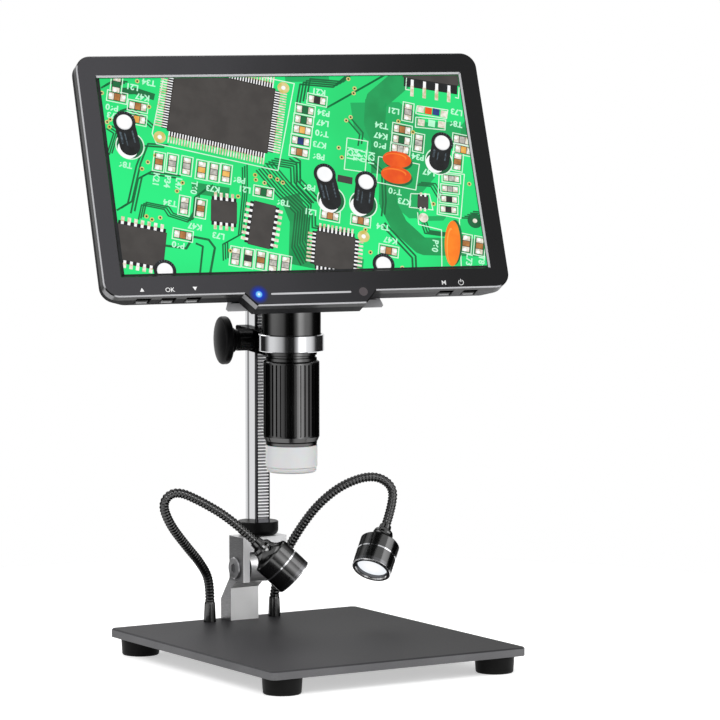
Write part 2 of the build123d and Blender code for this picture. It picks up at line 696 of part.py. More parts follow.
def focus_knob():
    """A domed knob on a stepped hub; it is turned about its own Z, then laid along the shaft."""
    hub_start = BOSS_LEFT_X + FREE_GAP
    rim_start = hub_start + KNOB_HUB_LEN
    rim_end = rim_start + KNOB_RIM_LEN
    edge = KNOB_EDGE_R
    knob = turned(
        Polyline((0, rim_end + KNOB_DOME), (0, hub_start), (KNOB_HUB_R - 1, hub_start),
                 (KNOB_HUB_R - 1, hub_start + 1.4), (KNOB_HUB_R, hub_start + 2.2), (KNOB_HUB_R, rim_start),
                 (KNOB_R - edge, rim_start)),
        RadiusArc((KNOB_R - edge, rim_start), (KNOB_R, rim_start + edge), -edge),
        Line((KNOB_R, rim_start + edge), (KNOB_R, rim_end - edge)),
        RadiusArc((KNOB_R, rim_end - edge), (KNOB_R - edge, rim_end), -edge),
        dome(KNOB_R - edge, rim_end, rim_end + KNOB_DOME))
    knob -= disc(SHAFT_R, hub_start, hub_start + KNOB_SHAFT_DEEP)
    return Pos(0, PINION_Y, KNOB_Z) * Rot(0, -90, 0) * knob


# ---- optical tube (about its own axis) ----
def upper_tube():
    seat_top = RING_TOP_Z + FREE_GAP
    flange_low = HUMP_FLOOR_Z + CASE_WALL
    flange_top = flange_low + TUBE_FLANGE_H
    return turned_points(
        (TUBE_BORE_R, RING_LOW_Z), (TUBE_SEAT_R, RING_LOW_Z), (TUBE_SEAT_R, seat_top), (TUBE_R, seat_top),
        (TUBE_R, flange_low), (TUBE_FLANGE_R, flange_low), (TUBE_FLANGE_R, flange_top), (TUBE_BORE_R, flange_top))


def lens_barrel():
    groove_low = NECK_LOW_Z + 1.6
    groove_r = NECK_R - NECK_GROOVE
    spigot_top = RING_LOW_Z + BARREL_SPIGOT
    return turned_points(
        (BARREL_BORE_R, BARREL_LOW_Z), (BARREL_R, BARREL_LOW_Z), (BARREL_R, NECK_LOW_Z), (NECK_R, NECK_LOW_Z),
        (NECK_R, groove_low), (groove_r, groove_low + 0.4), (groove_r, groove_low + 1.4),
        (NECK_R, groove_low + 1.8), (NECK_R, RING_LOW_Z), (TUBE_BORE_R, RING_LOW_Z),
        (TUBE_BORE_R, spigot_top), (BARREL_BORE_R, spigot_top))


def flute_cutter():
    """One straight groove with round ends, standing at the focus ring's +X side."""
    low = FOCUS_RING_LOW_Z + FOCUS_TAPER_H + FLUTE_MARGIN / 2
    high = FOCUS_RING_TOP_Z - FLUTE_MARGIN
    slot = SlotOverall(high - low, FLUTE_WIDTH, rotation=90)
    floor_r = FOCUS_RING_R - FLUTE_DEEP
    return Pos(floor_r, 0, (low + high) / 2) * extrude(Plane.YZ * slot, FLUTE_DEEP + 1)


def focus_ring():
    bore = BARREL_R + RUN_GAP
    taper_top = FOCUS_RING_LOW_Z + FOCUS_TAPER_H
    groove_z = FOCUS_RING_LOW_Z + FOCUS_TAPER_H * 0.4
    ring = turned_points(
        (bore, FOCUS_RING_LOW_Z), (FOCUS_TAPER_R, FOCUS_RING_LOW_Z), (FOCUS_TAPER_R + 0.2, groove_z - 0.4),
        (FOCUS_TAPER_R + 0.2 - FOCUS_GROOVE, groove_z), (FOCUS_TAPER_R + 0.5, groove_z + 0.4),
        (FOCUS_RING_R, taper_top), (FOCUS_RING_R, FOCUS_RING_TOP_Z - 0.6),
        (FOCUS_RING_R - 0.6, FOCUS_RING_TOP_Z), (bore, FOCUS_RING_TOP_Z))
    cutter = flute_cutter()
    for flute in range(FLUTE_COUNT):
        ring -= Rot(0, 0, 360 / FLUTE_COUNT * flute) * cutter
    return ring


def frosted_cap():
    """An open-ended diffuser with a stepped lip, seated round the barrel's lower end."""
    inner = CAP_R - CAP_WALL
    lip_r = CAP_R - CAP_LIP_STEP
    lip_top = CAP_LOW_Z + CAP_LIP_H
    web_low = CAP_TOP_Z - CAP_WEB
    return turned_points(
        (inner - 0.6, CAP_LOW_Z), (lip_r - 0.8, CAP_LOW_Z), (lip_r, CAP_LOW_Z + 0.8), (lip_r, lip_top),
        (CAP_R, lip_top + CAP_LIP_STEP), (CAP_R, CAP_TOP_Z), (BARREL_R, CAP_TOP_Z), (BARREL_R, web_low),
        (inner, web_low), (inner, CAP_LOW_Z + 0.6))


def led_ring():
    low = BARREL_LOW_Z - LED_RING_THICK
    board = washer(LED_RING_R, LED_RING_BORE_R, low, BARREL_LOW_Z)
    middle_r = (LED_RING_R + LED_RING_BORE_R) / 2
    for lamp in range(LED_COUNT):
        turn = Rot(0, 0, 360 / LED_COUNT * (lamp + 0.5))
        board += turn * Pos(middle_r, 0, low - LED_HEIGHT / 2) * Box(LED_SIZE, LED_SIZE, LED_HEIGHT)
    return board


def lens_carrier():
    return washer(BARREL_BORE_R - RUN_GAP, LENS_R, CARRIER_LOW_Z, CARRIER_LOW_Z + CARRIER_LEN)


def objective_lens():
    """A biconvex lens in the carrier's lower end."""
    low = CARRIER_LOW_Z + LENS_BULGE + 0.5
    high = low + LENS_THICK
    return turned(
        dome(LENS_R, low, low - LENS_BULGE),
        Line((LENS_R, low), (LENS_R, high)),
        dome(LENS_R, high, high + LENS_BULGE),
        Line((0, high + LENS_BULGE), (0, low - LENS_BULGE)))


def sensor_board():
    low = HUMP_FLOOR_Z + CASE_WALL + TUBE_FLANGE_H
    half = SENSOR_BOARD / 2
    board = block((-half, half), (-half, half), (low, low + BOARD_THICK))
    board += block((-4, 4), (-4, 4), (low - 1, low))
    return board + block((-8, 8), (half - 5, half - 1), (low + BOARD_THICK, low + BOARD_THICK + 1.6))


# ---- screen housing (in the leaning frame, or beside the column where it says so) ----
def face_outline():
    chin = Polygon(
        (-CHIN_TOP_HALF, 1), (-CHIN_TOP_HALF, 0), (-CHIN_LOW_HALF, -CHIN_DROP),
        (CHIN_LOW_HALF, -CHIN_DROP), (CHIN_TOP_HALF, 0), (CHIN_TOP_HALF, 1), align=None)
    return rounded_panel(FACE_WIDTH, FACE_HEIGHT, FACE_CORNER_R, 0) + chin


def front_bezel():
    window = plain_panel((-WINDOW_WIDTH / 2, WINDOW_WIDTH / 2), (WINDOW_LOW_V, WINDOW_LOW_V + WINDOW_HEIGHT))
    inner_r = FACE_CORNER_R - CASE_WALL
    recess = rounded_panel(FACE_WIDTH - 2 * CASE_WALL, FACE_HEIGHT - 2 * CASE_WALL, inner_r, CASE_WALL)
    bezel = slab(face_outline(), 0, BEZEL_DEPTH)
    bezel = chamfer(bezel.faces().sort_by(Axis.Y)[0].edges(), FACE_CHAMFER)
    opening = slab(window, 0, BEZEL_DEPTH)
    wide = rounded_panel(WINDOW_WIDTH + 2 * WINDOW_CHAMFER, WINDOW_HEIGHT + 2 * WINDOW_CHAMFER, 0.5,
                         WINDOW_LOW_V - WINDOW_CHAMFER)
    narrow = rounded_panel(WINDOW_WIDTH, WINDOW_HEIGHT, 0.1, WINDOW_LOW_V)
    bevel = loft([Plane.XZ * wide, Pos(0, WINDOW_CHAMFER, 0) * (Plane.XZ * narrow)])
    bezel -= opening + bevel
    bezel -= slab(recess, CASE_WALL, BEZEL_DEPTH)
    bezel -= slab(dot(LED_X, TRIM_V, LED_R), 0, BEZEL_DEPTH)
    bezel -= slab(dot(RECEIVER_X, TRIM_V, RECEIVER_R), 0, RECEIVER_THICK)
    bezel -= slab(dot(RECEIVER_X, TRIM_V, LED_R), RECEIVER_THICK, BEZEL_DEPTH)
    return bezel - slab(bar_sketch(), 0, BAR_THICK)


def bar_sketch():
    return Pos(0, TRIM_V) * SlotOverall(BAR_LENGTH, BAR_HEIGHT)


def light_bar():
    return slab(bar_sketch(), -BAR_PROUD, BAR_THICK)


def power_led():
    return slab(dot(LED_X, TRIM_V, LED_R), 0, LED_LENS_LEN)


def receiver_window():
    return slab(dot(RECEIVER_X, TRIM_V, RECEIVER_R), 0, RECEIVER_THICK)


def hump_plan(inset, low_z):
    """The hump's walls seen from above, straight up: wings closing in to a round back about the tube."""
    radius = HUMP_BACK_R - inset
    half = HUMP_HALF - inset
    front = -(REACH + FACE_AHEAD)
    root_y = face_point(HUMP_LOW_V, EDGE_DEPTH)[0]
    wings = Polygon((-half, front), (half, front), (half, root_y), (radius, -REACH), (-radius, -REACH),
                    (-half, root_y), align=None)
    plan = wings + Pos(0, -REACH) * Circle(radius)
    return Pos(0, 0, low_z) * extrude(plan, FACE_HEIGHT)


def hump_solid():
    """The block behind the screen that takes the tube, beside the column."""
    back_y = -REACH + HUMP_BACK_R + 1
    root = EDGE_DEPTH - 1
    outline = [
        face_point(HUMP_LOW_V, EDGE_DEPTH), (back_y, HUMP_FLOOR_Z), (back_y, HUMP_SHOULDER_Z),
        face_point(HUMP_TOP_V, EDGE_DEPTH), face_point(HUMP_TOP_V, root), face_point(1, root),
        face_point(1, EDGE_DEPTH)]
    hump = side_prism(outline, 2 * HUMP_HALF) & hump_plan(0, HUMP_FLOOR_Z - 1)
    rim = [edge for edge in hump.faces().sort_by(Axis.Z)[0].edges() if edge.center().Y > outline[0][0] + 1]
    return chamfer(rim, HUMP_EDGE)


def hump_hollow():
    back_y = -REACH + HUMP_BACK_R + 1
    floor_z = HUMP_FLOOR_Z + CASE_WALL
    outline = [
        face_point(2 * CASE_WALL, EDGE_DEPTH - CASE_WALL - 1), (face_point(0, EDGE_DEPTH)[0], floor_z),
        (back_y, floor_z), (back_y, HUMP_SHOULDER_Z - 3 * CASE_WALL),
        face_point(HUMP_TOP_V - 6, EDGE_DEPTH - CASE_WALL), face_point(HUMP_TOP_V - 6, EDGE_DEPTH - CASE_WALL - 1)]
    return side_prism(outline, 2 * (HUMP_HALF - CASE_WALL)) & hump_plan(CASE_WALL, HUMP_FLOOR_Z)


def button_places():
    """(name, x) of each key along the lower edge."""
    left = [BUTTON_INSET_LEFT - FACE_WIDTH / 2 + BUTTON_PITCH * step for step in range(3)]
    right = [FACE_WIDTH / 2 - BUTTON_INSET_RIGHT - BUTTON_PITCH * step for step in (1, 0)]
    return list(zip(("up", "ok", "down", "menu", "power"), left + right))


def key_block(x, size, depth_gap, v_span):
    half_x = size[0] / 2 + depth_gap
    half_y = size[1] / 2 + depth_gap
    return block((x - half_x, x + half_x), (BUTTON_DEPTH - half_y, BUTTON_DEPTH + half_y), v_span)


def port_block(v, size, x_span):
    return block(x_span, (PORT_DEPTH - size[1] / 2, PORT_DEPTH + size[1] / 2), (v - size[0] / 2, v + size[0] / 2))


def case_screw_places():
    heights = (CASE_SCREW_LOW_V, FACE_HEIGHT - CASE_SCREW_TOP_INSET)
    return [(side * CASE_SCREW_X, v) for side in (-1, 1) for v in heights]


def rear_shell():
    """The tapered tray behind the bezel, in the leaning frame."""
    shell = slab(face_outline(), BEZEL_DEPTH, TAPER_START)
    wide = rounded_panel(FACE_WIDTH, FACE_HEIGHT, FACE_CORNER_R, 0)
    narrow = rounded_panel(FACE_WIDTH - 2 * TAPER_SIDE, FACE_HEIGHT - TAPER_SIDE, FACE_CORNER_R, 0)
    shell += loft([Pos(0, TAPER_START, 0) * (Plane.XZ * wide), Pos(0, EDGE_DEPTH, 0) * (Plane.XZ * narrow)])
    chin = Polygon(
        (-CHIN_TOP_HALF, 1), (-CHIN_TOP_HALF, 0), (-CHIN_LOW_HALF, -CHIN_DROP),
        (CHIN_LOW_HALF, -CHIN_DROP), (CHIN_TOP_HALF, 0), (CHIN_TOP_HALF, 1), align=None)
    shell += slab(chin, TAPER_START, EDGE_DEPTH)
    return shell


def rear_hollow():
    """What the tray is hollowed by: the panel's well, the shallower well behind it and the chin's."""
    inner_r = FACE_CORNER_R - CASE_WALL
    well = rounded_panel(FACE_WIDTH - 2 * CASE_WALL, FACE_HEIGHT - 2 * CASE_WALL, inner_r, CASE_WALL)
    back_well = rounded_panel(FACE_WIDTH - 2 * TAPER_SIDE, FACE_HEIGHT - CASE_WALL - TAPER_SIDE, inner_r,
                              CASE_WALL)
    low = CHIN_DROP - CASE_WALL
    chin = Polygon(
        (-CHIN_TOP_HALF + 3, CASE_WALL + 1), (-CHIN_TOP_HALF + 3, 0), (-CHIN_LOW_HALF + 1, -low),
        (CHIN_LOW_HALF - 1, -low), (CHIN_TOP_HALF - 3, 0), (CHIN_TOP_HALF - 3, CASE_WALL + 1), align=None)
    return slab(well, BEZEL_DEPTH, TAPER_START) + slab(back_well, TAPER_START, REAR_WALL_DEPTH) \
        + slab(chin, BEZEL_DEPTH, REAR_WALL_DEPTH)


def rear_openings():
    """Key ways, ports, vents and screw holes through the tray's walls."""
    cuts = []
    for _, x in button_places():
        cuts.append(key_block(x, SCOOP_SIZE, 0, (-1, SCOOP_DEEP)))
        cuts.append(key_block(x, BUTTON_SIZE, FREE_GAP, (0, CASE_WALL)))
    for v, size in ((USB_V, USB_SIZE), (CARD_V, CARD_SIZE)):
        cuts.append(port_block(v, size, (FACE_WIDTH / 2 - PORT_LENGTH - PORT_RECESS, FACE_WIDTH / 2)))
    for x, v in case_screw_places():
        cuts.append(slab(dot(x, v, CASE_SCREW_R), REAR_WALL_DEPTH, EDGE_DEPTH))
        cuts.append(slab(dot(x, v, CASE_SCREW_HEAD_R), EDGE_DEPTH - CASE_SCREW_HEAD_H, EDGE_DEPTH))
    for side in (-1, 1):
        for step in range(VENT_COUNT):
            x = side * (VENT_X + VENT_PITCH * step)
            slot = Pos(x, VENT_V) * SlotOverall(VENT_SIZE[1], VENT_SIZE[0], rotation=90)
            cuts.append(slab(slot, REAR_WALL_DEPTH, EDGE_DEPTH))
    return cuts


def rear_cover():
    """Tray and hump as one moulding, beside the column."""
    cover = ON_FACE * rear_shell() + hump_solid()
    cover -= ON_FACE * rear_hollow()
    cover -= hump_hollow()
    cover -= Pos(0, -REACH, 0) * disc(TUBE_R, HUMP_FLOOR_Z - 1, HUMP_FLOOR_Z + CASE_WALL)
    for cut in rear_openings():
        cover -= ON_FACE * cut
    return cover


def panel_sketch():
    return plain_panel((-PANEL_WIDTH / 2, PANEL_WIDTH / 2), (PANEL_LOW_V, PANEL_LOW_V + PANEL_HEIGHT))


def lcd_panel():
    return slab(panel_sketch(), CASE_WALL, BACKLIGHT_DEPTH)


def backlight_unit():
    return slab(panel_sketch(), BACKLIGHT_DEPTH, FRAME_DEPTH)


def board_right_x():
    return FACE_WIDTH / 2 - PORT_RECESS - PORT_LENGTH


def board_post_places():
    inset = 4
    return [(x, v) for x in (BOARD_LEFT_X + inset, board_right_x() - inset)
            for v in (BOARD_V[0] + inset, BOARD_V[1] - inset)]


def panel_frame():
    """The steel back plate that holds the panel, with posts for the case screws and the main board."""
    frame = slab(panel_sketch(), FRAME_DEPTH, FRAME_BACK)
    for x, v in case_screw_places():
        frame += slab(dot(x, v, STANDOFF_R), FRAME_BACK, REAR_WALL_DEPTH)
        frame -= slab(dot(x, v, CASE_SCREW_R), FRAME_DEPTH, REAR_WALL_DEPTH)
    for x, v in board_post_places():
        frame += slab(dot(x, v, STANDOFF_R - 0.6), FRAME_BACK, BOARD_DEPTH)
    return frame


def main_board():
    back = BOARD_DEPTH + BOARD_THICK
    board = slab(plain_panel((BOARD_LEFT_X, board_right_x()), BOARD_V), BOARD_DEPTH, back)
    for x, v, width, height in ((10, 75, 18, 18), (45, 80, 12, 14), (45, 58, 12, 14), (85, 60, 14, 10)):
        board += slab(plain_panel((x, x + width), (v, v + height)), back, back + 1.2)
    return board


def key_boards():
    """Small boards behind the keys, with a switch over each key, and the board behind the chin."""
    switch_low = CASE_WALL + FREE_GAP + FLANGE_THICK + BUTTON_TRAVEL + FREE_GAP
    board_low = switch_low + SWITCH_H
    places = [x for _, x in button_places()]
    boards = []
    for group in (places[:3], places[3:]):
        x_span = (group[0] - 6, group[-1] + 6)
        board = block(x_span, (KEY_BOARD_DEPTH, REAR_WALL_DEPTH), (board_low, board_low + 1.2))
        for x in group:
            board += key_block(x, (SWITCH_SIZE, SWITCH_SIZE), 0, (switch_low, board_low))
        boards.append(board)
    x_span = (LED_X - STATUS_MARGIN, RECEIVER_X + STATUS_MARGIN)
    v_span = (TRIM_V - STATUS_MARGIN, TRIM_V + STATUS_MARGIN)
    status = slab(plain_panel(x_span, v_span), BEZEL_DEPTH, BEZEL_DEPTH + 1.2)
    status += slab(dot(LED_X, TRIM_V, LED_R - 0.1), LED_LENS_LEN + 0.2, BEZEL_DEPTH)
    status += slab(dot(RECEIVER_X, TRIM_V, LED_R - 0.1), RECEIVER_THICK + 0.2, BEZEL_DEPTH)
    return Compound(boards + [status])


def port_sockets():
    """Hollow metal shells of the power and card sockets, each with its tongue."""
    outer_x = FACE_WIDTH / 2 - PORT_RECESS
    sockets = []
    for v, size, tongue in ((USB_V, USB_SIZE, 0.7), (CARD_V, CARD_SIZE, 0.5)):
        shell = port_block(v, size, (outer_x - PORT_LENGTH, outer_x))
        inside = (size[0] - 2 * PORT_SHELL, size[1] - 2 * PORT_SHELL)
        shell -= port_block(v, inside, (outer_x - PORT_LENGTH + 1, outer_x))
        shell += port_block(v, (inside[0] - 2, tongue), (outer_x - PORT_LENGTH, outer_x - 1))
        sockets.append(shell)
    return Compound(sockets)


def casing_screws():
    screws = []
    for x, v in case_screw_places():
        head = slab(dot(x, v, CASE_SCREW_HEAD_R), EDGE_DEPTH - CASE_SCREW_HEAD_H, EDGE_DEPTH - 0.1)
        shank = slab(dot(x, v, CASE_SCREW_R), FRAME_DEPTH, EDGE_DEPTH - CASE_SCREW_HEAD_H)
        cross = slab(Pos(x, v) * (Rectangle(0.6, 2.8) + Rectangle(2.8, 0.6)), EDGE_DEPTH - 0.9, EDGE_DEPTH)
        screws.append(head + shank - cross)
    return Compound(screws)


def button(x):
    """A key with a crowned tip below the wall and a flange that keeps it in."""
    tip = key_block(x, BUTTON_SIZE, 0, (-BUTTON_PROUD, CASE_WALL + FREE_GAP))
    tip = chamfer(tip.faces().sort_by(Axis.Z)[0].edges(), 0.5)
    flange_low = CASE_WALL + FREE_GAP
    half_y = REAR_WALL_DEPTH - FREE_GAP - BUTTON_DEPTH
    half_x = BUTTON_SIZE[0] / 2 + BUTTON_FLANGE
    flange = block((x - half_x, x + half_x), (BUTTON_DEPTH - half_y, BUTTON_DEPTH + half_y),
                   (flange_low, flange_low + FLANGE_THICK))
    return tip + flange


# ---- flexible lamps ----
def lamp_sleeve(side, route):
    """The tapered foot of a lamp's arm, with a stud into the plate, swaged round the arm's end."""
    sleeve = turned_points(
        (0, -SEAT_DEEP), (SLEEVE_BASE_R, -SEAT_DEEP), (SLEEVE_BASE_R, 0), (SLEEVE_TOP_R + 0.1, SLEEVE_HEIGHT - 1),
        (SLEEVE_TOP_R - 0.2, SLEEVE_HEIGHT), (0, SLEEVE_HEIGHT))
    sleeve += disc(SLEEVE_STUD_R, -PLATE_THICK, -SEAT_DEEP)
    return Pos(side * SLEEVE_X, SLEEVE_Y, 0) * sleeve - gooseneck(route)


def corner_radii(route):
    """The arc radius at each inner point of a route, from the runs and the turn there."""
    radii = []
    for before, corner, after in zip(route, route[1:], route[2:]):
        run_in = Vector(*corner) - Vector(*before)
        run_out = Vector(*after) - Vector(*corner)
        turn = radians(run_in.get_angle(run_out))
        radii.append(NECK_CORNER_SHARE * min(run_in.length, run_out.length) / tan(turn / 2))
    return radii


def gooseneck(route):
    path = FilletPolyline(*route, radius=corner_radii(route))
    start = Plane(origin=path @ 0, z_dir=path % 0)
    return sweep(start * Circle(NECK_TUBE_R), path=path)


def lamp_plane(route):
    """Where a lamp starts: the neck's end, with Z along the way the lamp points."""
    direction = Vector(*route[-1]) - Vector(*route[-2])
    return Plane(origin=route[-1], z_dir=direction)


def lamp_housing():
    shoulder = LAMP_NECK
    end = LAMP_NECK + LAMP_BODY - LAMP_BEZEL_H
    ring_low = shoulder + LAMP_RING_AT
    ring_high = ring_low + LAMP_RING_H
    ring_r = LAMP_R - LAMP_RING_DEEP
    bore_low = LAMP_NECK + LAMP_BODY - LAMP_BORE_DEEP
    boss_top = 7.2
    flare_mid = (LAMP_R * 0.68, LAMP_NECK - 1.8)
    return turned(
        Polyline((0, bore_low), (0, 0), (LAMP_SLEEVE_R - 0.3, 0), (LAMP_SLEEVE_R, 3), (LAMP_BOSS_R - 0.5, 4.4),
                 (LAMP_BOSS_R, 6), (LAMP_BOSS_R, boss_top)),
        ThreePointArc((LAMP_BOSS_R, boss_top), flare_mid, (LAMP_R - 0.6, shoulder)),
        Polyline((LAMP_R - 0.6, shoulder), (LAMP_R, shoulder + 0.7), (LAMP_R, ring_low), (ring_r, ring_low),
                 (ring_r, ring_high), (LAMP_R, ring_high), (LAMP_R, end), (LAMP_BORE_R, end),
                 (LAMP_BORE_R, bore_low), (0, bore_low)))


def lamp_ring():
    low = LAMP_NECK + LAMP_RING_AT
    return washer(LAMP_R + 0.05, LAMP_R - LAMP_RING_DEEP, low, low + LAMP_RING_H)


def lamp_bezel():
    end = LAMP_NECK + LAMP_BODY
    low = end - LAMP_BEZEL_H
    return turned_points(
        (LAMP_RIM_R, low), (LAMP_R, low), (LAMP_R, end - 0.5), (LAMP_R - 0.5, end), (LAMP_RIM_R + 0.7, end),
        (LAMP_RIM_R, end - 1))


def lamp_lens():
    """A thin domed window behind the rim."""
    low = LAMP_NECK + LAMP_BODY - LAMP_BEZEL_H - LAMP_LENS_THICK
    high = low + LAMP_LENS_THICK
    return turned(
        Polyline((0, high + LAMP_LENS_RISE), (0, low), (LAMP_BORE_R, low), (LAMP_BORE_R, high),
                 (LAMP_RIM_R, high)),
        dome(LAMP_RIM_R, high, high + LAMP_LENS_RISE))


def lamp_led():
    low = LAMP_NECK + LAMP_BODY - LAMP_BORE_DEEP
    top = low + LAMP_BOARD_THICK
    return disc(LAMP_BORE_R, low, top) + disc(3.2, top, top + 1) + disc(2, top + 1, top + 2.2)


# ---- write every piece ----
def lamp_pieces(name, side, route):
    place = lamp_plane(route)
    return {
        "lamp_sleeve_" + name: lamp_sleeve(side, route),
        "gooseneck_" + name: gooseneck(route),
        "lamp_housing_" + name: place * lamp_housing(),
        "lamp_ring_" + name: place * lamp_ring(),
        "lamp_bezel_" + name: place * lamp_bezel(),
        "lamp_lens_" + name: place * lamp_lens(),
        "lamp_led_" + name: place * lamp_led(),
    }


pieces = {
    "base_plate": base_plate(),
    "rubber_feet": Compound([place * rubber_foot() for place in foot_places()]),
    "base_screws": base_screws(),
    "pivot_bracket": pivot_bracket(),
    "tilt_yoke": tilt_yoke(),
    "pivot_bolt": pivot_bolt(),
    "pivot_nut": pivot_nut(),
    "friction_washers": friction_washers(),
    "swivel_collar": IN_COLUMN * swivel_collar(),
    "swivel_screw": IN_COLUMN * swivel_screw(),
    "column_bar": IN_COLUMN * column_bar(),
    "rack_strip": IN_COLUMN * rack_strip(),
    "column_cap": IN_COLUMN * column_cap(),
    "carriage_body": IN_COLUMN * carriage_body(),
    "carriage_cover": IN_COLUMN * carriage_cover(),
    "gib_pad": IN_COLUMN * gib_pad(),
    "clamp_ring": IN_COLUMN * clamp_ring(),
    "ring_liner": IN_TUBE * ring_liner(),
    "pinion_shaft": IN_COLUMN * pinion_shaft(),
    "focus_knob": IN_COLUMN * focus_knob(),
    "upper_tube": IN_TUBE * upper_tube(),
    "lens_barrel": IN_TUBE * lens_barrel(),
    "focus_ring": IN_TUBE * focus_ring(),
    "lens_carrier": IN_TUBE * lens_carrier(),
    "objective_lens": IN_TUBE * objective_lens(),
    "led_ring": IN_TUBE * led_ring(),
    "frosted_cap": IN_TUBE * frosted_cap(),
    "sensor_board": IN_TUBE * sensor_board(),
    "front_bezel": IN_SCREEN * front_bezel(),
    "rear_cover": IN_COLUMN * rear_cover(),
    "lcd_panel": IN_SCREEN * lcd_panel(),
    "backlight_unit": IN_SCREEN * backlight_unit(),
    "panel_frame": IN_SCREEN * panel_frame(),
    "main_board": IN_SCREEN * main_board(),
    "key_boards": IN_SCREEN * key_boards(),
    "port_sockets": IN_SCREEN * port_sockets(),
    "casing_screws": IN_SCREEN * casing_screws(),
    "power_led": IN_SCREEN * power_led(),
    "light_bar": IN_SCREEN * light_bar(),
    "receiver_window": IN_SCREEN * receiver_window(),
}
for key_name, key_x in button_places():
    pieces["button_" + key_name] = IN_SCREEN * button(key_x)
pieces.update(lamp_pieces("left", -1, LEFT_NECK_ROUTE))
pieces.update(lamp_pieces("right", 1, RIGHT_NECK_ROUTE))

for node, shape in pieces.items():
    export_step(shape, "parts/" + node + ".step")

print(len(pieces), "nodes")
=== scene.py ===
from math import atan2, cos, pi, radians, sin

import bpy
from mathutils import Matrix, Vector


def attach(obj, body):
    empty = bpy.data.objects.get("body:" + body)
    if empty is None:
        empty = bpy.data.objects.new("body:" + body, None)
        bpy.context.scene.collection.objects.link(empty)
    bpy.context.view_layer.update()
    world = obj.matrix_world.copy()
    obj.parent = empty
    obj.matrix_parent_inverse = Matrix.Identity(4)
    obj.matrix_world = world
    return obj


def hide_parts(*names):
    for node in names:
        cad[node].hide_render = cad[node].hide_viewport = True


# Looks of a digital microscope: screen picture, ribbed lamp arms, printed marks and finishes.
# Metres, in the part's frame: the origin is the centre of the plate's top face.

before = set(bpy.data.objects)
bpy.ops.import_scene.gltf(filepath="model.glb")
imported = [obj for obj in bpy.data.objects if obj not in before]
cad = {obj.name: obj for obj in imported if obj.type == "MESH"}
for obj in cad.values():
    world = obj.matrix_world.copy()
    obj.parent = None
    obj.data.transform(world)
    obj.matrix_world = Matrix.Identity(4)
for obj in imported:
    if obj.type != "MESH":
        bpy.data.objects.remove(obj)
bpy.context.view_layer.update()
bpy.ops.object.select_all(action="DESELECT")

MM = 0.001
MICRON = 0.001 * MM
HEAD_TURN = radians(-12.4)
SCREEN_LEAN = radians(24.5)
COLUMN_Y = 66.3 * MM
REACH = 64 * MM             # from the column's axis forward to the tube's
FACE_AHEAD = 36 * MM        # from the tube's axis forward to the face's lower edge
FACE_LOW_Z = 204.8 * MM
FACE_WIDTH = 244 * MM
IN_COLUMN = Matrix.Translation((0, COLUMN_Y, 0)) @ Matrix.Rotation(HEAD_TURN, 4, "Z")
IN_TUBE = IN_COLUMN @ Matrix.Translation((0, -REACH, 0))
FACE_EDGE = Matrix.Translation((0, -REACH - FACE_AHEAD, FACE_LOW_Z))
ON_FACE = IN_COLUMN @ FACE_EDGE @ Matrix.Rotation(-SCREEN_LEAN, 4, "X")
# A drawing made in the XY plane stands up on the screen's face: X across, Y up the face, Z out of it.
DRAWN_ON_FACE = ON_FACE @ Matrix.Rotation(pi / 2, 4, "X")
# The lit area's left, right, lower and upper sides on the face, in the drawings' millimetres.
WINDOW = (-110.2, 110.2, 12.8, 133.7)
# Places on the face, from the middle of its lower edge: the power lamp, and the keys in its lower wall.
LED_X = -31.3 * MM
LED_UP = -0.6 * MM
KEY_X = tuple(x * MM for x in (-98.0, -83.2, -68.4, 84.0, 98.8))


# ---- shader maths ----
class Socket:
    """A shader socket that takes Python's arithmetic."""

    def __init__(self, nodes, output):
        self.nodes = nodes
        self.output = output

    def maths(self, operation, *values, clamp=False):
        settings = {"operation": operation, "use_clamp": clamp}
        return self.nodes.node("ShaderNodeMath", settings, dict(enumerate((self,) + values)))

    def __add__(self, other):
        return self.maths("ADD", other)

    def __sub__(self, other):
        return self.maths("SUBTRACT", other)

    def __mul__(self, other):
        return self.maths("MULTIPLY", other)

    def __truediv__(self, other):
        return self.maths("DIVIDE", other)

    def __gt__(self, other):
        return self.maths("GREATER_THAN", other)

    def __lt__(self, other):
        return self.maths("LESS_THAN", other)

    def __abs__(self):
        return self.maths("ABSOLUTE")

    def __pow__(self, other):
        return self.maths("POWER", other)

    def __rsub__(self, other):
        return self.maths("MULTIPLY", -1).maths("ADD", other)

    __radd__ = __add__
    __rmul__ = __mul__

    def limited(self):
        return self.maths("ADD", 0.0, clamp=True)

    def smooth_from(self, low, high):
        """0 below low, 1 above high and a soft step between."""
        settings = {"interpolation_type": "SMOOTHSTEP"}
        inputs = {"Value": self, "From Min": low, "From Max": high}
        return self.nodes.node("ShaderNodeMapRange", settings, inputs)

    def parts(self):
        split = self.nodes.raw("ShaderNodeSeparateXYZ", {}, {0: self})
        return [Socket(self.nodes, output) for output in split.outputs]


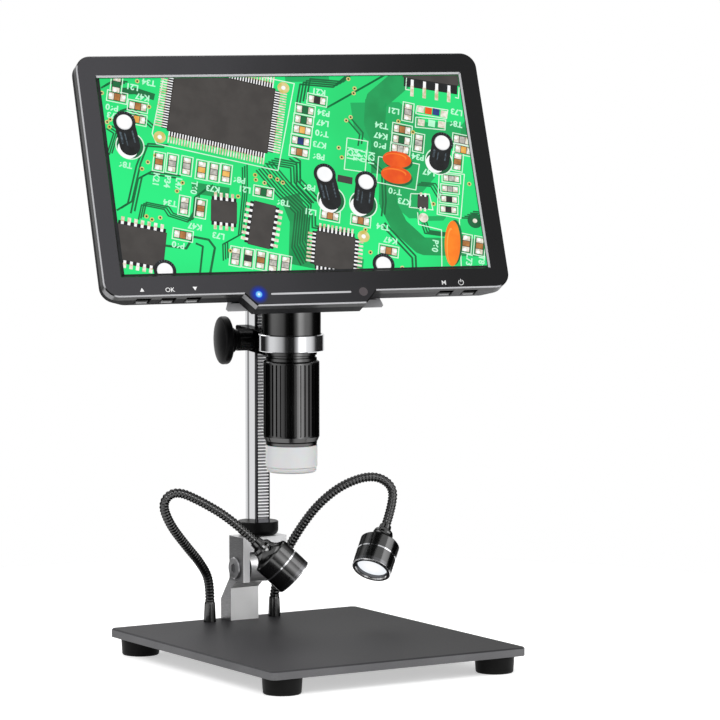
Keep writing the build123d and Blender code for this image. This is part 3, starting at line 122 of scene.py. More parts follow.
class Nodes:
    """Adds nodes to one node tree."""

    def __init__(self, tree):
        self.tree = tree

    def raw(self, kind, settings, inputs):
        node = self.tree.nodes.new(kind)
        for name, value in settings.items():
            if name == "stops":
                ramp = node.color_ramp
                while len(ramp.elements) < len(value):
                    ramp.elements.new(0.5)
                for element, (place, colour) in zip(ramp.elements, value):
                    element.position = place
                    element.color = tuple(colour) + (1.0,)
            else:
                setattr(node, name, value)
        for key, value in inputs.items():
            if isinstance(value, Socket):
                self.tree.links.new(value.output, node.inputs[key])
            else:
                node.inputs[key].default_value = value
        return node

    def node(self, kind, settings, inputs, output=0):
        return Socket(self, self.raw(kind, settings, inputs).outputs[output])

    def place(self, centre=None, scale=(1, 1, 1)):
        """Object coordinates in metres, seen from a frame such as the column's or the tube's."""
        here = self.node("ShaderNodeTexCoord", {}, {}, "Object")
        if centre is not None:
            back = centre.inverted()
            inputs = {"Vector": here, "Location": back.to_translation(), "Rotation": back.to_euler()}
            here = self.node("ShaderNodeMapping", {}, inputs)
        if scale != (1, 1, 1):
            inputs = {"Vector": here, "Scale": scale}
            here = self.node("ShaderNodeMapping", {}, inputs)
        return here

    def noise(self, scale, detail=2, roughness=0.5, where=None):
        """Noise over the piece, or over another place, with so many waves to the metre."""
        inputs = {"Vector": where or self.place(), "Scale": scale, "Detail": detail, "Roughness": roughness}
        return self.node("ShaderNodeTexNoise", {}, inputs)

    def mix(self, share, first, second):
        settings = {"data_type": "RGBA"}
        node = self.raw("ShaderNodeMix", settings, {0: share})
        for index, value in ((6, first), (7, second)):
            if isinstance(value, Socket):
                self.tree.links.new(value.output, node.inputs[index])
            else:
                node.inputs[index].default_value = tuple(value) + (1.0,)
        return Socket(self, node.outputs[2])


class Finish(Nodes):
    """A material on one Principled shader, with uniform values on its sockets and nodes for the rest."""

    def __init__(self, name, **uniform):
        self.material = bpy.data.materials.new(name)
        self.material.use_nodes = True
        super().__init__(self.material.node_tree)
        self.shader = self.tree.nodes["Principled BSDF"]
        for key, value in uniform.items():
            socket = self.shader.inputs[key.replace("_", " ")]
            if isinstance(value, tuple) and len(value) == 3 and socket.type == "RGBA":
                value = value + (1.0,)
            socket.default_value = value

    def feed(self, socket, value):
        self.tree.links.new(value.output, self.shader.inputs[socket])

    def gloss(self, rough, *patterns):
        """Roughness about one level, wandering with patterns from 0 to 1, each by its own share."""
        self.shader.inputs["Roughness"].default_value = rough
        for pattern, share in patterns:
            rough = (pattern - 0.5) * share + rough
        self.feed("Roughness", rough)

    def painted_recess_shade(self, where):
        """Covers the finish with matt black: painted shade, as deep in a recess."""
        black = self.node("ShaderNodeBsdfDiffuse", {}, {}, "BSDF")
        black.output.node.inputs["Color"].default_value = (0.001, 0.001, 0.001, 1.0)
        both = self.node("ShaderNodeMixShader", {}, {0: where, 2: black}, "Shader").output
        self.tree.links.new(self.shader.outputs["BSDF"], both.node.inputs[1])
        self.tree.links.new(both, self.tree.nodes["Material Output"].inputs["Surface"])

    def relief(self, height, depth):
        """Bumps of the given depth in metres, from a height between 0 and 1."""
        inputs = {"Height": height, "Distance": depth}
        self.feed("Normal", self.node("ShaderNodeBump", {}, inputs))


# ---- finishes ----
def grey(level):
    return (level,) * 3


def grained(name, colour, rough, grain, depth, **uniform):
    """A finish with a fine grain in its surface and a little unevenness in its gloss."""
    finish = Finish(name, Base_Color=colour, **uniform)
    fine = finish.noise(grain, 3)
    broad = finish.noise(45, 3)
    finish.gloss(rough, (broad, 0.08), (fine, 0.04))
    lighter = tuple(min(1.0, channel * 1.25 + 0.002) for channel in colour)
    finish.feed("Base Color", finish.mix(broad.smooth_from(0.35, 0.7), colour, lighter))
    finish.relief(fine, depth)
    return finish


def screen_sides(finish):
    """How far a surface looks out of the screen, to its right and up it, and how diagonal it lies."""
    facing = finish.node("ShaderNodeTexCoord", {}, {}, "Normal")
    turned = ON_FACE.to_3x3()
    dot = {"operation": "DOT_PRODUCT"}
    ahead, right, up = (
        finish.node("ShaderNodeVectorMath", dot, {0: facing, 1: turned @ Vector(way)}, "Value")
        for way in ((0, -1, 0), (1, 0, 0), (0, 0, 1)))
    slant = abs(right * up) / (right ** 2 + up ** 2 + 0.001)
    return ahead, right, up, slant.smooth_from(0.25, 0.42)


# The soft sides of a finger scoop in the housing's lower wall, where shade is painted: beside its key, in
# front and behind.
SCOOP_SIDE = (3.9 * MM, 4.9 * MM)
SCOOP_FRONT = (3.6 * MM, 4.2 * MM)
SCOOP_BACK = (12 * MM, 12.6 * MM)
SCOOP_TOP = 2 * MM


def painted_scoop_shade(x, depth, height):
    """Whether a point of the housing's lower wall lies in a finger scoop's painted shade, with a soft rim."""
    beside = sum(1 - abs(x - key_x).smooth_from(*SCOOP_SIDE) for key_x in KEY_X)
    ahead = depth.smooth_from(*SCOOP_FRONT)
    behind = 1 - depth.smooth_from(*SCOOP_BACK)
    return beside * ahead * behind * (height < SCOOP_TOP)


def case_finish():
    """Dark moulded housing: a painted reflection lighter to the left, painted highlights on cut edges where
    they look left or down and on diagonal walls, painted shade on its other cut edges, walls and key scoops,
    and the blue glow of its lamp painted round it.
    """
    finish = Finish("housing_plastic", Specular_IOR_Level=0.17, Emission_Strength=1.0)
    fine = finish.noise(2600)
    broad = finish.noise(18)
    finish.gloss(0.34, (broad, 0.08), (fine, 0.06))
    finish.relief(fine, 12 * MICRON)
    ahead, right, up, slant = screen_sides(finish)
    x, depth, height = finish.place(ON_FACE).parts()
    bevel = ahead.smooth_from(0.3, 0.5) * (1 - ahead.smooth_from(0.86, 0.96)) * (depth < 1.4 * MM)
    # where a cut edge takes its painted highlight: looking left or down, and not diagonal
    lit = (1 - right.smooth_from(-0.5, -0.3)) + (1 - up.smooth_from(-0.5, -0.3)) * 0.8
    lit = lit.limited() * (1 - slant)
    wall = 1 - ahead.smooth_from(0.2, 0.35)
    # painted reflection: the housing lighter to the left and darker to the right, with a little tone that
    # differs at random
    shade = (x / FACE_WIDTH + 0.5 + (broad - 0.5) * 0.3).smooth_from(0.0, 1.0)
    body = finish.mix(shade, (0.050, 0.049, 0.054), (0.003, 0.003, 0.0035))
    # painted shade: the cut edges and walls near black
    body = finish.mix((bevel + wall).limited(), body, grey(0.008))
    # painted highlight: the diagonal walls light grey
    body = finish.mix(wall * slant, body, (0.32, 0.32, 0.33))
    lamp = ((x - LED_X) ** 2 + (height - LED_UP) ** 2) ** 0.5
    # painted glow: a blue pool of the power lamp's light on the housing round it, in its colour and its
    # emission
    glow = (1 - (lamp / (6.0 * MM))).limited() * ahead.smooth_from(0.6, 0.9)
    body = finish.mix((glow * 2).limited(), body, (0, 0.002, 0.012))
    # painted shade in the key scoops of the lower wall
    finish.painted_recess_shade(painted_scoop_shade(x, depth, height) * wall)
    # painted highlight: the cut edges bright and metallic where they look left or down
    finish.feed("Base Color", finish.mix(bevel * lit, body, (0.55, 0.55, 0.57)))
    finish.feed("Metallic", bevel * lit * 0.85)
    # painted glow: a bright core on the housing about the lamp
    painted_glow_core = 1 - lamp.smooth_from(1.0 * MM, 2.3 * MM)
    painted_halo = finish.mix(glow ** 1.4, (0, 0, 0), (0.006, 0.07, 0.95))
    finish.feed("Emission Color", finish.mix(painted_glow_core * ahead.smooth_from(0.6, 0.9), painted_halo, (0.22, 0.80, 1.0)))
    return finish


def key_finish():
    """The sprung keys: light grey, with the shadow of their scoop over the front part."""
    finish = Finish("key_plastic")
    fine = finish.noise(2200, 3)
    broad = finish.noise(45, 3)
    _, depth, _ = finish.place(ON_FACE).parts()
    light = finish.mix(broad.smooth_from(0.35, 0.7), (0.20, 0.20, 0.205), (0.25, 0.25, 0.255))
    lower = depth.smooth_from(8.8 * MM, 9.2 * MM)
    finish.feed("Base Color", finish.mix(lower, grey(0.004), light))
    finish.gloss(0.3, (broad, 0.08), (fine, 0.04))
    finish.relief(fine, 12 * MICRON)
    return finish


def back_finish():
    """The rear moulding: spark-eroded, its under side lighter to the right as painted light, the hump's foot
    light grey as a painted highlight.
    """
    finish = Finish("rear_plastic", Specular_IOR_Level=0.04)
    fine = finish.noise(1700, 3)
    broad = finish.noise(45, 3)
    finish.gloss(0.5, (broad, 0.08), (fine, 0.06))
    finish.relief(fine, 30 * MICRON)
    ahead, _, up, _ = screen_sides(finish)
    x, depth, height = finish.place(ON_FACE).parts()
    under = 1 - up.smooth_from(-0.8, -0.4)
    # painted light: the under side lighter to the right
    lighter = x.smooth_from(10 * MM, 130 * MM) * under
    low = 1 - height.smooth_from(-1 * MM, 3 * MM)
    # painted highlight: the hump's foot light grey where it looks forward
    foot = ahead.smooth_from(0.3, 0.6) * depth.smooth_from(4 * MM, 6 * MM) * low
    body = finish.mix(broad.smooth_from(0.35, 0.7), (0.014, 0.014, 0.015), (0.018, 0.018, 0.0195))
    body = finish.mix(lighter, body, (0.17, 0.17, 0.175))
    # painted shade in the key scoops on the under side
    finish.painted_recess_shade(painted_scoop_shade(x, depth, height) * under)
    finish.feed("Base Color", finish.mix(foot, body, (0.42, 0.42, 0.43)))
    return finish


def plate_finish():
    """Powder coat: a soft orange peel over dark grey, a painted reflection lighter to the left, and a lighter
    grey along the plate's edge.
    """
    finish = Finish("powder_coat", Specular_IOR_Level=0.04)
    peel = finish.noise(900)
    worn = finish.noise(14, 4, 0.6)
    speck = finish.noise(4200, 1)
    x, _, _ = finish.place().parts()
    # painted reflection: the top lighter to the left, mixed below with wear and specks
    across = 1 - x.smooth_from(-0.11, 0.10)
    shade = (worn.smooth_from(0.3, 0.75) * 0.25 + speck * 0.2 + across * 0.55).limited()
    _, _, up = finish.node("ShaderNodeTexCoord", {}, {}, "Normal").parts()
    edge = 1 - up.smooth_from(0.2, 0.9)
    top = finish.mix(shade, grey(0.006), (0.050, 0.049, 0.053))
    grit = (speck * 0.6 + worn * 0.4).smooth_from(0.3, 0.7)
    # the plate's sides a lighter grey, with grit
    side_grey = finish.mix(grit, (0.11, 0.11, 0.115), (0.20, 0.20, 0.205))
    finish.feed("Base Color", finish.mix(edge, top, side_grey))
    finish.gloss(0.5, (worn, 0.12), (peel, 0.08))
    finish.relief(peel, 20 * MICRON)
    return finish


def chrome_finish(name, along, with_painted_reflections=False):
    """Polished plating with faint drawing lines along one axis."""
    finish = Finish(name, Metallic=1.0, Roughness=0.08)
    drawn = finish.noise(1, 3, where=finish.place(None, along))
    broad = finish.noise(30)
    tone = finish.mix(broad, (0.60, 0.605, 0.62), (0.68, 0.685, 0.70))
    if with_painted_reflections:
        # painted reflections: dark bands over the column's chrome
        tone = finish.mix(painted_reflection_bands(finish), (0.055, 0.055, 0.06), tone)
    finish.feed("Base Color", tone)
    finish.feed("Roughness", drawn * 0.07 + broad * 0.05 + 0.04)
    finish.relief(drawn, 4 * MICRON)
    return finish


def painted_reflection_bands(finish):
    """Bright and dark bands of painted reflection along the bar: a dark line near the back, and dark at the
    corners.
    """
    _, y, _ = finish.place(IN_COLUMN).parts()
    line = y.smooth_from(1.8 * MM, 2.6 * MM) * (1 - y.smooth_from(5.2 * MM, 6.0 * MM))
    painted_corner_reflection = 1 - y.smooth_from(-9.6 * MM, -7.4 * MM)
    back = y.smooth_from(8.0 * MM, 10.2 * MM) * 0.15
    return 1 - (line + painted_corner_reflection + back).limited()


def machined_finish(name, light, dark, rough):
    """Blasted and milled light metal."""
    finish = Finish(name, Metallic=0.9)
    fine = finish.noise(1800, 3)
    broad = finish.noise(60, 3)
    finish.feed("Base Color", finish.mix(broad.smooth_from(0.3, 0.7), dark, light))
    finish.gloss(rough, (fine, 0.12), (broad, 0.1))
    finish.relief(fine, 16 * MICRON)
    return finish


def flanked_finish(name, metallic, front, painted_flank_shade, painted_flat_shade):
    """Satin light metal with its flanks darkened by painted shade over a brushed grain, and painted shade of
    its own on what lies flat.
    """
    finish = Finish(name, Metallic=metallic, Specular_IOR_Level=0.2)
    fine = finish.noise(1800, 3)
    broad = finish.noise(60, 3)
    brushed = finish.noise(1, where=finish.place(None, (200, 200, 4000)))
    across, _, up = finish.node("ShaderNodeTexCoord", {}, {}, "Normal").parts()
    # the flanks, where the painted shade lies
    aside = abs(across).smooth_from(0.6, 0.8)
    bright = finish.mix(broad.smooth_from(0.3, 0.7), tuple(0.92 * level for level in front), front)
    dark = finish.mix(brushed.smooth_from(0.3, 0.75), painted_flank_shade, tuple(1.6 * level for level in painted_flank_shade))
    # painted shade on faces that lie flat
    flat = up.smooth_from(0.9, 0.95)
    finish.feed("Base Color", finish.mix(flat, finish.mix(aside, bright, dark), painted_flat_shade))
    finish.gloss(0.34, (fine, 0.12), (broad, 0.1))
    finish.relief(fine, 16 * MICRON)
    return finish


def rack_finish():
    """Ground steel teeth, darkened down at their roots with painted shade."""
    finish = Finish("rack_steel", Metallic=0.4, Roughness=0.25)
    _, depth, _ = finish.place(IN_COLUMN).parts()
    painted_root_shade = depth.smooth_from(-10.75 * MM, -9.6 * MM)
    fine = finish.noise(900, 3)
    # painted shade down at the teeth's roots
    finish.feed("Base Color", finish.mix(painted_root_shade, (0.95, 0.95, 0.96), (0.26, 0.26, 0.27)))
    finish.feed("Roughness", fine * 0.12 + painted_root_shade * 0.2 + 0.25)
    return finish


def gloss_black(name, rough, tone=0.13, turned_about=None):
    """Black plating that mirrors the room darkly; a turned piece keeps fine lathe rings under it."""
    finish = Finish(name, Metallic=1.0, Specular_Tint=grey(0.25))
    fine = finish.noise(1500)
    broad = finish.noise(70)
    finish.feed("Base Color", finish.mix(broad, grey(tone * 0.9), grey(tone * 1.15)))
    finish.gloss(rough, (broad, 0.08), (fine, 0.04))
    rings = finish.noise(1, where=finish.place(turned_about, (1, 1, 9000))) if turned_about else fine
    finish.relief(rings, 2 * MICRON)
    return finish


def lamp_rim_finish(name, centre):
    """Black plating with the lamp's front lip left bright."""
    finish = gloss_black(name, 0.2)
    _, _, along = finish.place(centre).parts()
    broad = finish.noise(90)
    lip = along.smooth_from(LAMP_LEN - 0.8 * MM, LAMP_LEN - 0.4 * MM) * (broad * 0.3 + 0.75).limited()
    finish.feed("Base Color", finish.mix(lip, (0.13, 0.13, 0.135), (0.85, 0.85, 0.86)))
    return finish


def frosted_finish():
    """Milky diffuser, a little greyer towards its lip."""
    finish = Finish("frosted_diffuser", Roughness=0.42, Subsurface_Weight=0.35, Subsurface_Scale=0.003,
                    Specular_IOR_Level=0.4)
    fine = finish.noise(1400)
    _, _, up = finish.place().parts()
    lip = 1 - up.smooth_from(98.5 * MM, 101.5 * MM)
    finish.feed("Base Color", finish.mix(lip, (0.73, 0.735, 0.74), (0.61, 0.615, 0.62)))
    finish.feed("Roughness", fine * 0.14 + 0.36)
    finish.relief(fine, 20 * MICRON)
    return finish


def board_finish():
    """Green solder mask with lighter copper paths under it."""
    finish = Finish("circuit_board", Roughness=0.32, Coat_Weight=0.3)
    grid = {"Vector": finish.place(), "Scale": 260}
    cells = finish.node("ShaderNodeTexVoronoi", {"distance": "MANHATTAN"}, grid)
    broad = finish.noise(120)
    mask = cells.smooth_from(0.3, 0.5)
    finish.feed("Base Color", finish.mix(mask, (0.02, 0.17, 0.06), (0.012, 0.09, 0.035)))
    finish.feed("Roughness", broad * 0.2 + 0.25)
    return finish


def lit_finish(name, colour, edge, centre, radius):
    """A lit window: one colour at its centre and another out at its rim."""
    finish = Finish(name, Base_Color=grey(0.05), Roughness=0.15, Emission_Strength=1.0)
    x, y, _ = finish.place(centre).parts()
    out = (x ** 2 + y ** 2) ** 0.5
    finish.feed("Emission Color", finish.mix(out.smooth_from(radius * 0.2, radius), colour, edge))
    return finish


def panel_glass(name):
    """The dark glass of the screen, for something lit behind it."""
    return Finish(name, Base_Color=grey(0.004), Roughness=0.3, Specular_IOR_Level=0.2,
                  Emission_Strength=1.0)


def shown_finish(name, colour, second, scale):
    """A colour as the lit screen shows it, with a little unevenness."""
    finish = panel_glass(name)
    patchy = finish.noise(scale, 3)
    finish.feed("Emission Color", finish.mix(patchy.smooth_from(0.3, 0.7), colour, second))
    return finish


def screen_green():
    """The lit panel: a bright green board with broad darker copper areas."""
    finish = panel_glass("screen_board_green")
    here = finish.place(ON_FACE)
    cells = {"Vector": here, "Scale": 22}
    lot, _, _ = finish.node("ShaderNodeTexVoronoi", {"distance": "CHEBYCHEV"}, cells, "Color").parts()
    broad = finish.noise(9, where=here)
    bright = finish.mix(broad.smooth_from(0.35, 0.65), (0.012, 0.86, 0.22), (0.012, 0.66, 0.16))
    finish.feed("Emission Color", finish.mix(lot > 0.78, bright, (0.006, 0.42, 0.11)))
    return finish


def wear_on(node, finish):
    """Gives a CAD piece its finish."""
    mesh = cad[node].data
    mesh.materials.clear()
    mesh.materials.append(finish.material)


COLUMN_LINES = (500, 500, 12)
RING_LINES = (60, 60, 3000)
LAMP_LEN = 32 * MM
LAMP_LENS_R = 9.5 * MM
CASE = case_finish()
BACK = back_finish()
PLATE = plate_finish()
CHROME = chrome_finish("chrome_column", COLUMN_LINES, True)
RING_CHROME = chrome_finish("chrome_ring", RING_LINES)
# How metallic, the front's colour, the flanks' painted shade and the flat faces' painted shade.
BRACKET = flanked_finish("machined_bracket", 0.75, grey(0.99), (0.15, 0.15, 0.153), (0.01, 0.01, 0.011))
YOKE = flanked_finish("machined_yoke", 0.2, (0.95, 0.95, 0.96), (0.12, 0.12, 0.123), (0.6, 0.6, 0.61))
BOLT = machined_finish("blackened_steel", (0.34, 0.34, 0.35), (0.20, 0.20, 0.205), 0.3)
STEEL = machined_finish("zinc_steel", (0.7, 0.7, 0.72), (0.55, 0.55, 0.57), 0.28)
RACK = rack_finish()
TUBE = gloss_black("anodised_tube", 0.13, 0.105, IN_TUBE)
LAMP_BLACK = gloss_black("anodised_lamp", 0.15, 0.095)
ARM_METAL = gloss_black("arm_metal", 0.2, 0.075)
CARRIAGE = gloss_black("anodised_carriage", 0.25, 0.06)
RUBBER = grained("black_rubber", grey(0.004), 0.5, 1200, 30 * MICRON, Specular_IOR_Level=0.1)
KNOB = grained("knob_plastic", (0.003, 0.003, 0.0033), 0.4, 1500, 20 * MICRON, Specular_IOR_Level=0.08)
KEYS = key_finish()
LINER = grained("liner_plastic", grey(0.03), 0.5, 1400, 20 * MICRON)
FROSTED = frosted_finish()
BOARD = board_finish()
SHEETS = grained("backlight_sheets", (0.7, 0.7, 0.68), 0.4, 900, 10 * MICRON)

FINISHES = {
    CASE: ["front_bezel"],
    BACK: ["rear_cover"],
    PLATE: ["base_plate"],
    CHROME: ["column_bar"],
    RING_CHROME: ["clamp_ring", "lamp_ring_left", "lamp_ring_right"],
    BRACKET: ["pivot_bracket"],
    YOKE: ["tilt_yoke"],
    BOLT: ["pivot_bolt", "pivot_nut"],
    STEEL: ["base_screws", "friction_washers", "swivel_screw", "casing_screws",
            "pinion_shaft", "port_sockets", "panel_frame"],
    RACK: ["rack_strip"],
    TUBE: ["upper_tube", "lens_barrel", "focus_ring", "lens_carrier"],
    LAMP_BLACK: ["lamp_housing_left", "lamp_housing_right", "lamp_sleeve_left", "lamp_sleeve_right"],
    CARRIAGE: ["carriage_body", "carriage_cover"],
    RUBBER: ["rubber_feet"],
    KNOB: ["focus_knob", "column_cap", "swivel_collar"],
    KEYS: ["button_up", "button_ok", "button_down", "button_menu", "button_power"],
    LINER: ["ring_liner", "gib_pad"],
    FROSTED: ["frosted_cap"],
    BOARD: ["main_board", "key_boards", "sensor_board", "led_ring", "lamp_led_left", "lamp_led_right"],
    SHEETS: ["backlight_unit"],
}
for finish, names in FINISHES.items():
    for name in names:
        wear_on(name, finish)

wear_on("lcd_panel", screen_green())
wear_on("objective_lens", Finish("coated_glass", Base_Color=(0.9, 0.94, 0.98), Roughness=0.03,
                                 Transmission_Weight=1.0, IOR=1.52))


# ---- lamps ----
LEFT_ROUTE = [(-22.3, 85, 12), (-23.2, 83, 24.5), (-32, 77.6, 36), (-46.5, 71.8, 49.5), (-60.5, 65.6, 63.5),
              (-67.8, 61.6, 77), (-60.5, 58, 84.2), (-45.5, 53.6, 77), (-29.2, 46.1, 65.8), (-17.3, 40, 53.2)]
RIGHT_ROUTE = [(22.3, 85, 12), (22.2, 82, 24.5), (24.8, 76.5, 38.5), (31.5, 70.5, 54), (41, 64.5, 69),
               (55, 58.2, 80.8), (72, 52, 85.8), (83.3, 48.5, 79), (81.9, 46, 67.9), (73.1, 40, 55.9)]
ARM_R = 2.85 * MM
ARM_PITCH = 2.05 * MM
ROOT_R = ARM_R * 0.8
# Each step of a rib: its share of the pitch, and how much the ring grows over it.
RIB_STEPS = ((0.22, 1.15), (0.28, 1.087), (0.28, 1 / 1.087), (0.22, 1 / 1.15))


def lamp_frame(route):
    """Where a lamp starts, with Z the way it points."""
    end, before = Vector(route[-1]) * MM, Vector(route[-2]) * MM
    return Matrix.Translation(end) @ (end - before).to_track_quat("Z", "Y").to_matrix().to_4x4()


def arm_path(name, route):
    """The smooth line that an arm follows."""
    curve = bpy.data.curves.new(name, "CURVE")
    curve.dimensions = "3D"
    curve.twist_mode = "MINIMUM"
    spline = curve.splines.new("NURBS")
    spline.points.add(len(route) - 1)
    for point, place in zip(spline.points, route):
        point.co = (*(Vector(place) * MM), 1)
    spline.order_u = 3
    spline.use_endpoint_u = True
    spline.resolution_u = 16
    path = bpy.data.objects.new(name, curve)
    bpy.context.collection.objects.link(path)
    return path


def one_rib():
    """One turn of the arm's wire: a short rounded ring along X, open at both ends."""
    bpy.ops.mesh.primitive_circle_add(vertices=20, radius=ROOT_R, rotation=(0, pi / 2, 0))
    rib = bpy.context.object
    bpy.ops.object.transform_apply(rotation=True)
    bpy.ops.object.mode_set(mode="EDIT")
    bpy.ops.mesh.select_all(action="SELECT")
    along = 0.0
    for share, grow in RIB_STEPS:
        step = share * ARM_PITCH
        along += step
        bpy.ops.mesh.extrude_region_move(TRANSFORM_OT_translate={"value": (step, 0, 0)})
        bpy.ops.transform.resize(value=(1, grow, grow), center_override=(along, 0, 0))
    bpy.ops.mesh.select_all(action="SELECT")
    bpy.ops.mesh.normals_make_consistent(inside=False)
    bpy.ops.object.mode_set(mode="OBJECT")
    return rib


def ribbed_arm(name, node, route):
    """A flexible metal arm: ribs arrayed along a line, then bent to the arm's path."""
    path = arm_path(name + "_path", route)
    arm = one_rib()
    arm.name = name
    repeat = arm.modifiers.new("ribs", "ARRAY")
    repeat.fit_type = "FIT_CURVE"
    repeat.curve = path
    repeat.use_merge_vertices = True
    repeat.merge_threshold = 20 * MICRON
    repeat.relative_offset_displace = (1, 0, 0)
    bend = arm.modifiers.new("bend", "CURVE")
    bend.object = path
    bend.deform_axis = "POS_X"
    for modifier in ("ribs", "bend"):
        bpy.ops.object.modifier_apply(modifier=modifier)
    bpy.ops.object.shade_smooth()
    bpy.data.objects.remove(path)
    arm.data.materials.append(ARM_METAL.material)
    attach(arm, "base")
    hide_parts(node)
    bpy.ops.object.select_all(action="DESELECT")


for side, route in (("left", LEFT_ROUTE), ("right", RIGHT_ROUTE)):
    ribbed_arm("ribbed_arm_" + side, "gooseneck_" + side, route)
    lamp = lamp_frame(route)
    glow = lit_finish("lamp_glow_" + side, grey(1.0), (0.86, 0.90, 0.95), lamp, LAMP_LENS_R)
    wear_on("lamp_lens_" + side, glow)
    wear_on("lamp_bezel_" + side, lamp_rim_finish("lamp_rim_" + side, lamp))
    wear_on("gooseneck_" + side, ARM_METAL)

LED_R = 1.3 * MM
LIGHT_BAR_REACH = 40 * MM
LED_PLACE = ON_FACE @ Matrix.Translation((LED_X, 0, LED_UP)) @ Matrix.Rotation(pi / 2, 4, "X")
wear_on("power_led", lit_finish("blue_lamp", (0.75, 0.97, 1.0), (0.05, 0.25, 1.0), LED_PLACE, LED_R))
wear_on("light_bar", lit_finish("white_bar", (0.5, 0.5, 0.52), (0.36, 0.36, 0.38), ON_FACE, LIGHT_BAR_REACH))
wear_on("receiver_window", Finish("receiver_dark", Base_Color=(0.02, 0.008, 0.012), Roughness=0.08,
                                  Coat_Weight=1.0))


# ---- drawings on the screen and its frame ----
class Drawing:
    """Flat shapes in one mesh, drawn in millimetres in the XY plane; higher levels lie in front."""

    STEP = 0.01 * MM

    def __init__(self, name, colours):
        bpy.ops.object.select_all(action="DESELECT")
        bpy.ops.mesh.primitive_plane_add(size=MM)
        self.piece = bpy.context.object
        self.piece.name = name
        self.slots = {}
        for index, (colour, finish) in enumerate(colours.items()):
            self.piece.data.materials.append(finish.material)
            self.slots[colour] = index
        bpy.ops.object.mode_set(mode="EDIT")
        bpy.ops.mesh.delete(type="VERT")

    def placed(self, centre, size, turn, colour):
        """Stretches and turns the shape just added, and colours it."""
        bpy.ops.transform.resize(value=(*size, 1), center_override=centre)
        if turn:
            bpy.ops.transform.rotate(value=-turn, orient_axis="Z", center_override=centre)
        self.piece.active_material_index = self.slots[colour]
        bpy.ops.object.material_slot_assign()

    def patch(self, x, y, width, height, turn, level, colour):
        """A rectangle."""
        centre = (x * MM, y * MM, level * self.STEP)
        bpy.ops.mesh.select_all(action="DESELECT")
        bpy.ops.mesh.primitive_plane_add(size=1, location=centre)
        self.placed(centre, (width * MM, height * MM), turn, colour)

    def spot(self, x, y, radius, level, colour, sides=20, turn=0.0, stretch=1.0):
        """A disc, an oval or a regular polygon."""
        centre = (x * MM, y * MM, level * self.STEP)
        bpy.ops.mesh.select_all(action="DESELECT")
        bpy.ops.mesh.primitive_circle_add(vertices=sides, radius=radius * MM, fill_type="NGON",
                                          location=centre)
        self.placed(centre, (1, stretch), turn, colour)

    def line(self, points, width, level, colour):
        """A path of straight runs with round corners."""
        for (x0, y0), (x1, y1) in zip(points, points[1:]):
            length = ((x1 - x0) ** 2 + (y1 - y0) ** 2) ** 0.5
            turn = atan2(y1 - y0, x1 - x0)
            self.patch((x0 + x1) / 2, (y0 + y1) / 2, length, width, turn, level, colour)
        for x, y in points[1:-1]:
            self.spot(x, y, width / 2, level + 0.1, colour, 8)

    def outline(self, width, height, thick, level, colour):
        """A thin frame round a rectangle at the drawing's centre."""
        for side in (-1, 1):
            self.patch(0, side * height / 2, width + thick, thick, 0, level, colour)
            self.patch(side * width / 2, 0, thick, height + thick, 0, level, colour)

    @staticmethod
    def trimmed(low_x, high_x, low_y, high_y):
        """Cuts off what lies outside a rectangle."""
        cuts = (((low_x, 0), (-1, 0)), ((high_x, 0), (1, 0)), ((0, low_y), (0, -1)), ((0, high_y), (0, 1)))
        for (x, y), normal in cuts:
            bpy.ops.mesh.select_all(action="SELECT")
            bpy.ops.mesh.bisect(plane_co=(x * MM, y * MM, 0), plane_no=(*normal, 0), clear_outer=True)

    def closed(self):
        """Ends the drawing's edit mode and gives its object."""
        bpy.ops.object.mode_set(mode="OBJECT")
        bpy.ops.object.select_all(action="DESELECT")
        return self.piece


def moved(x, y, turn=0.0):
    return Matrix.Translation((x * MM, y * MM, 0)) @ Matrix.Rotation(turn, 4, "Z")


def stamped(pattern, place):
    """A copy of a pattern, with its own mesh."""
    copy = pattern.copy()
    copy.data = pattern.data.copy()
    copy.data.transform(place)
    bpy.context.collection.objects.link(copy)
    return copy


def hung(piece, place):
    """Puts a finished drawing in its place on the screen housing."""
    piece.data.transform(place)
    piece.data.update()
    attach(piece, "head")
    bpy.ops.object.select_all(action="DESELECT")


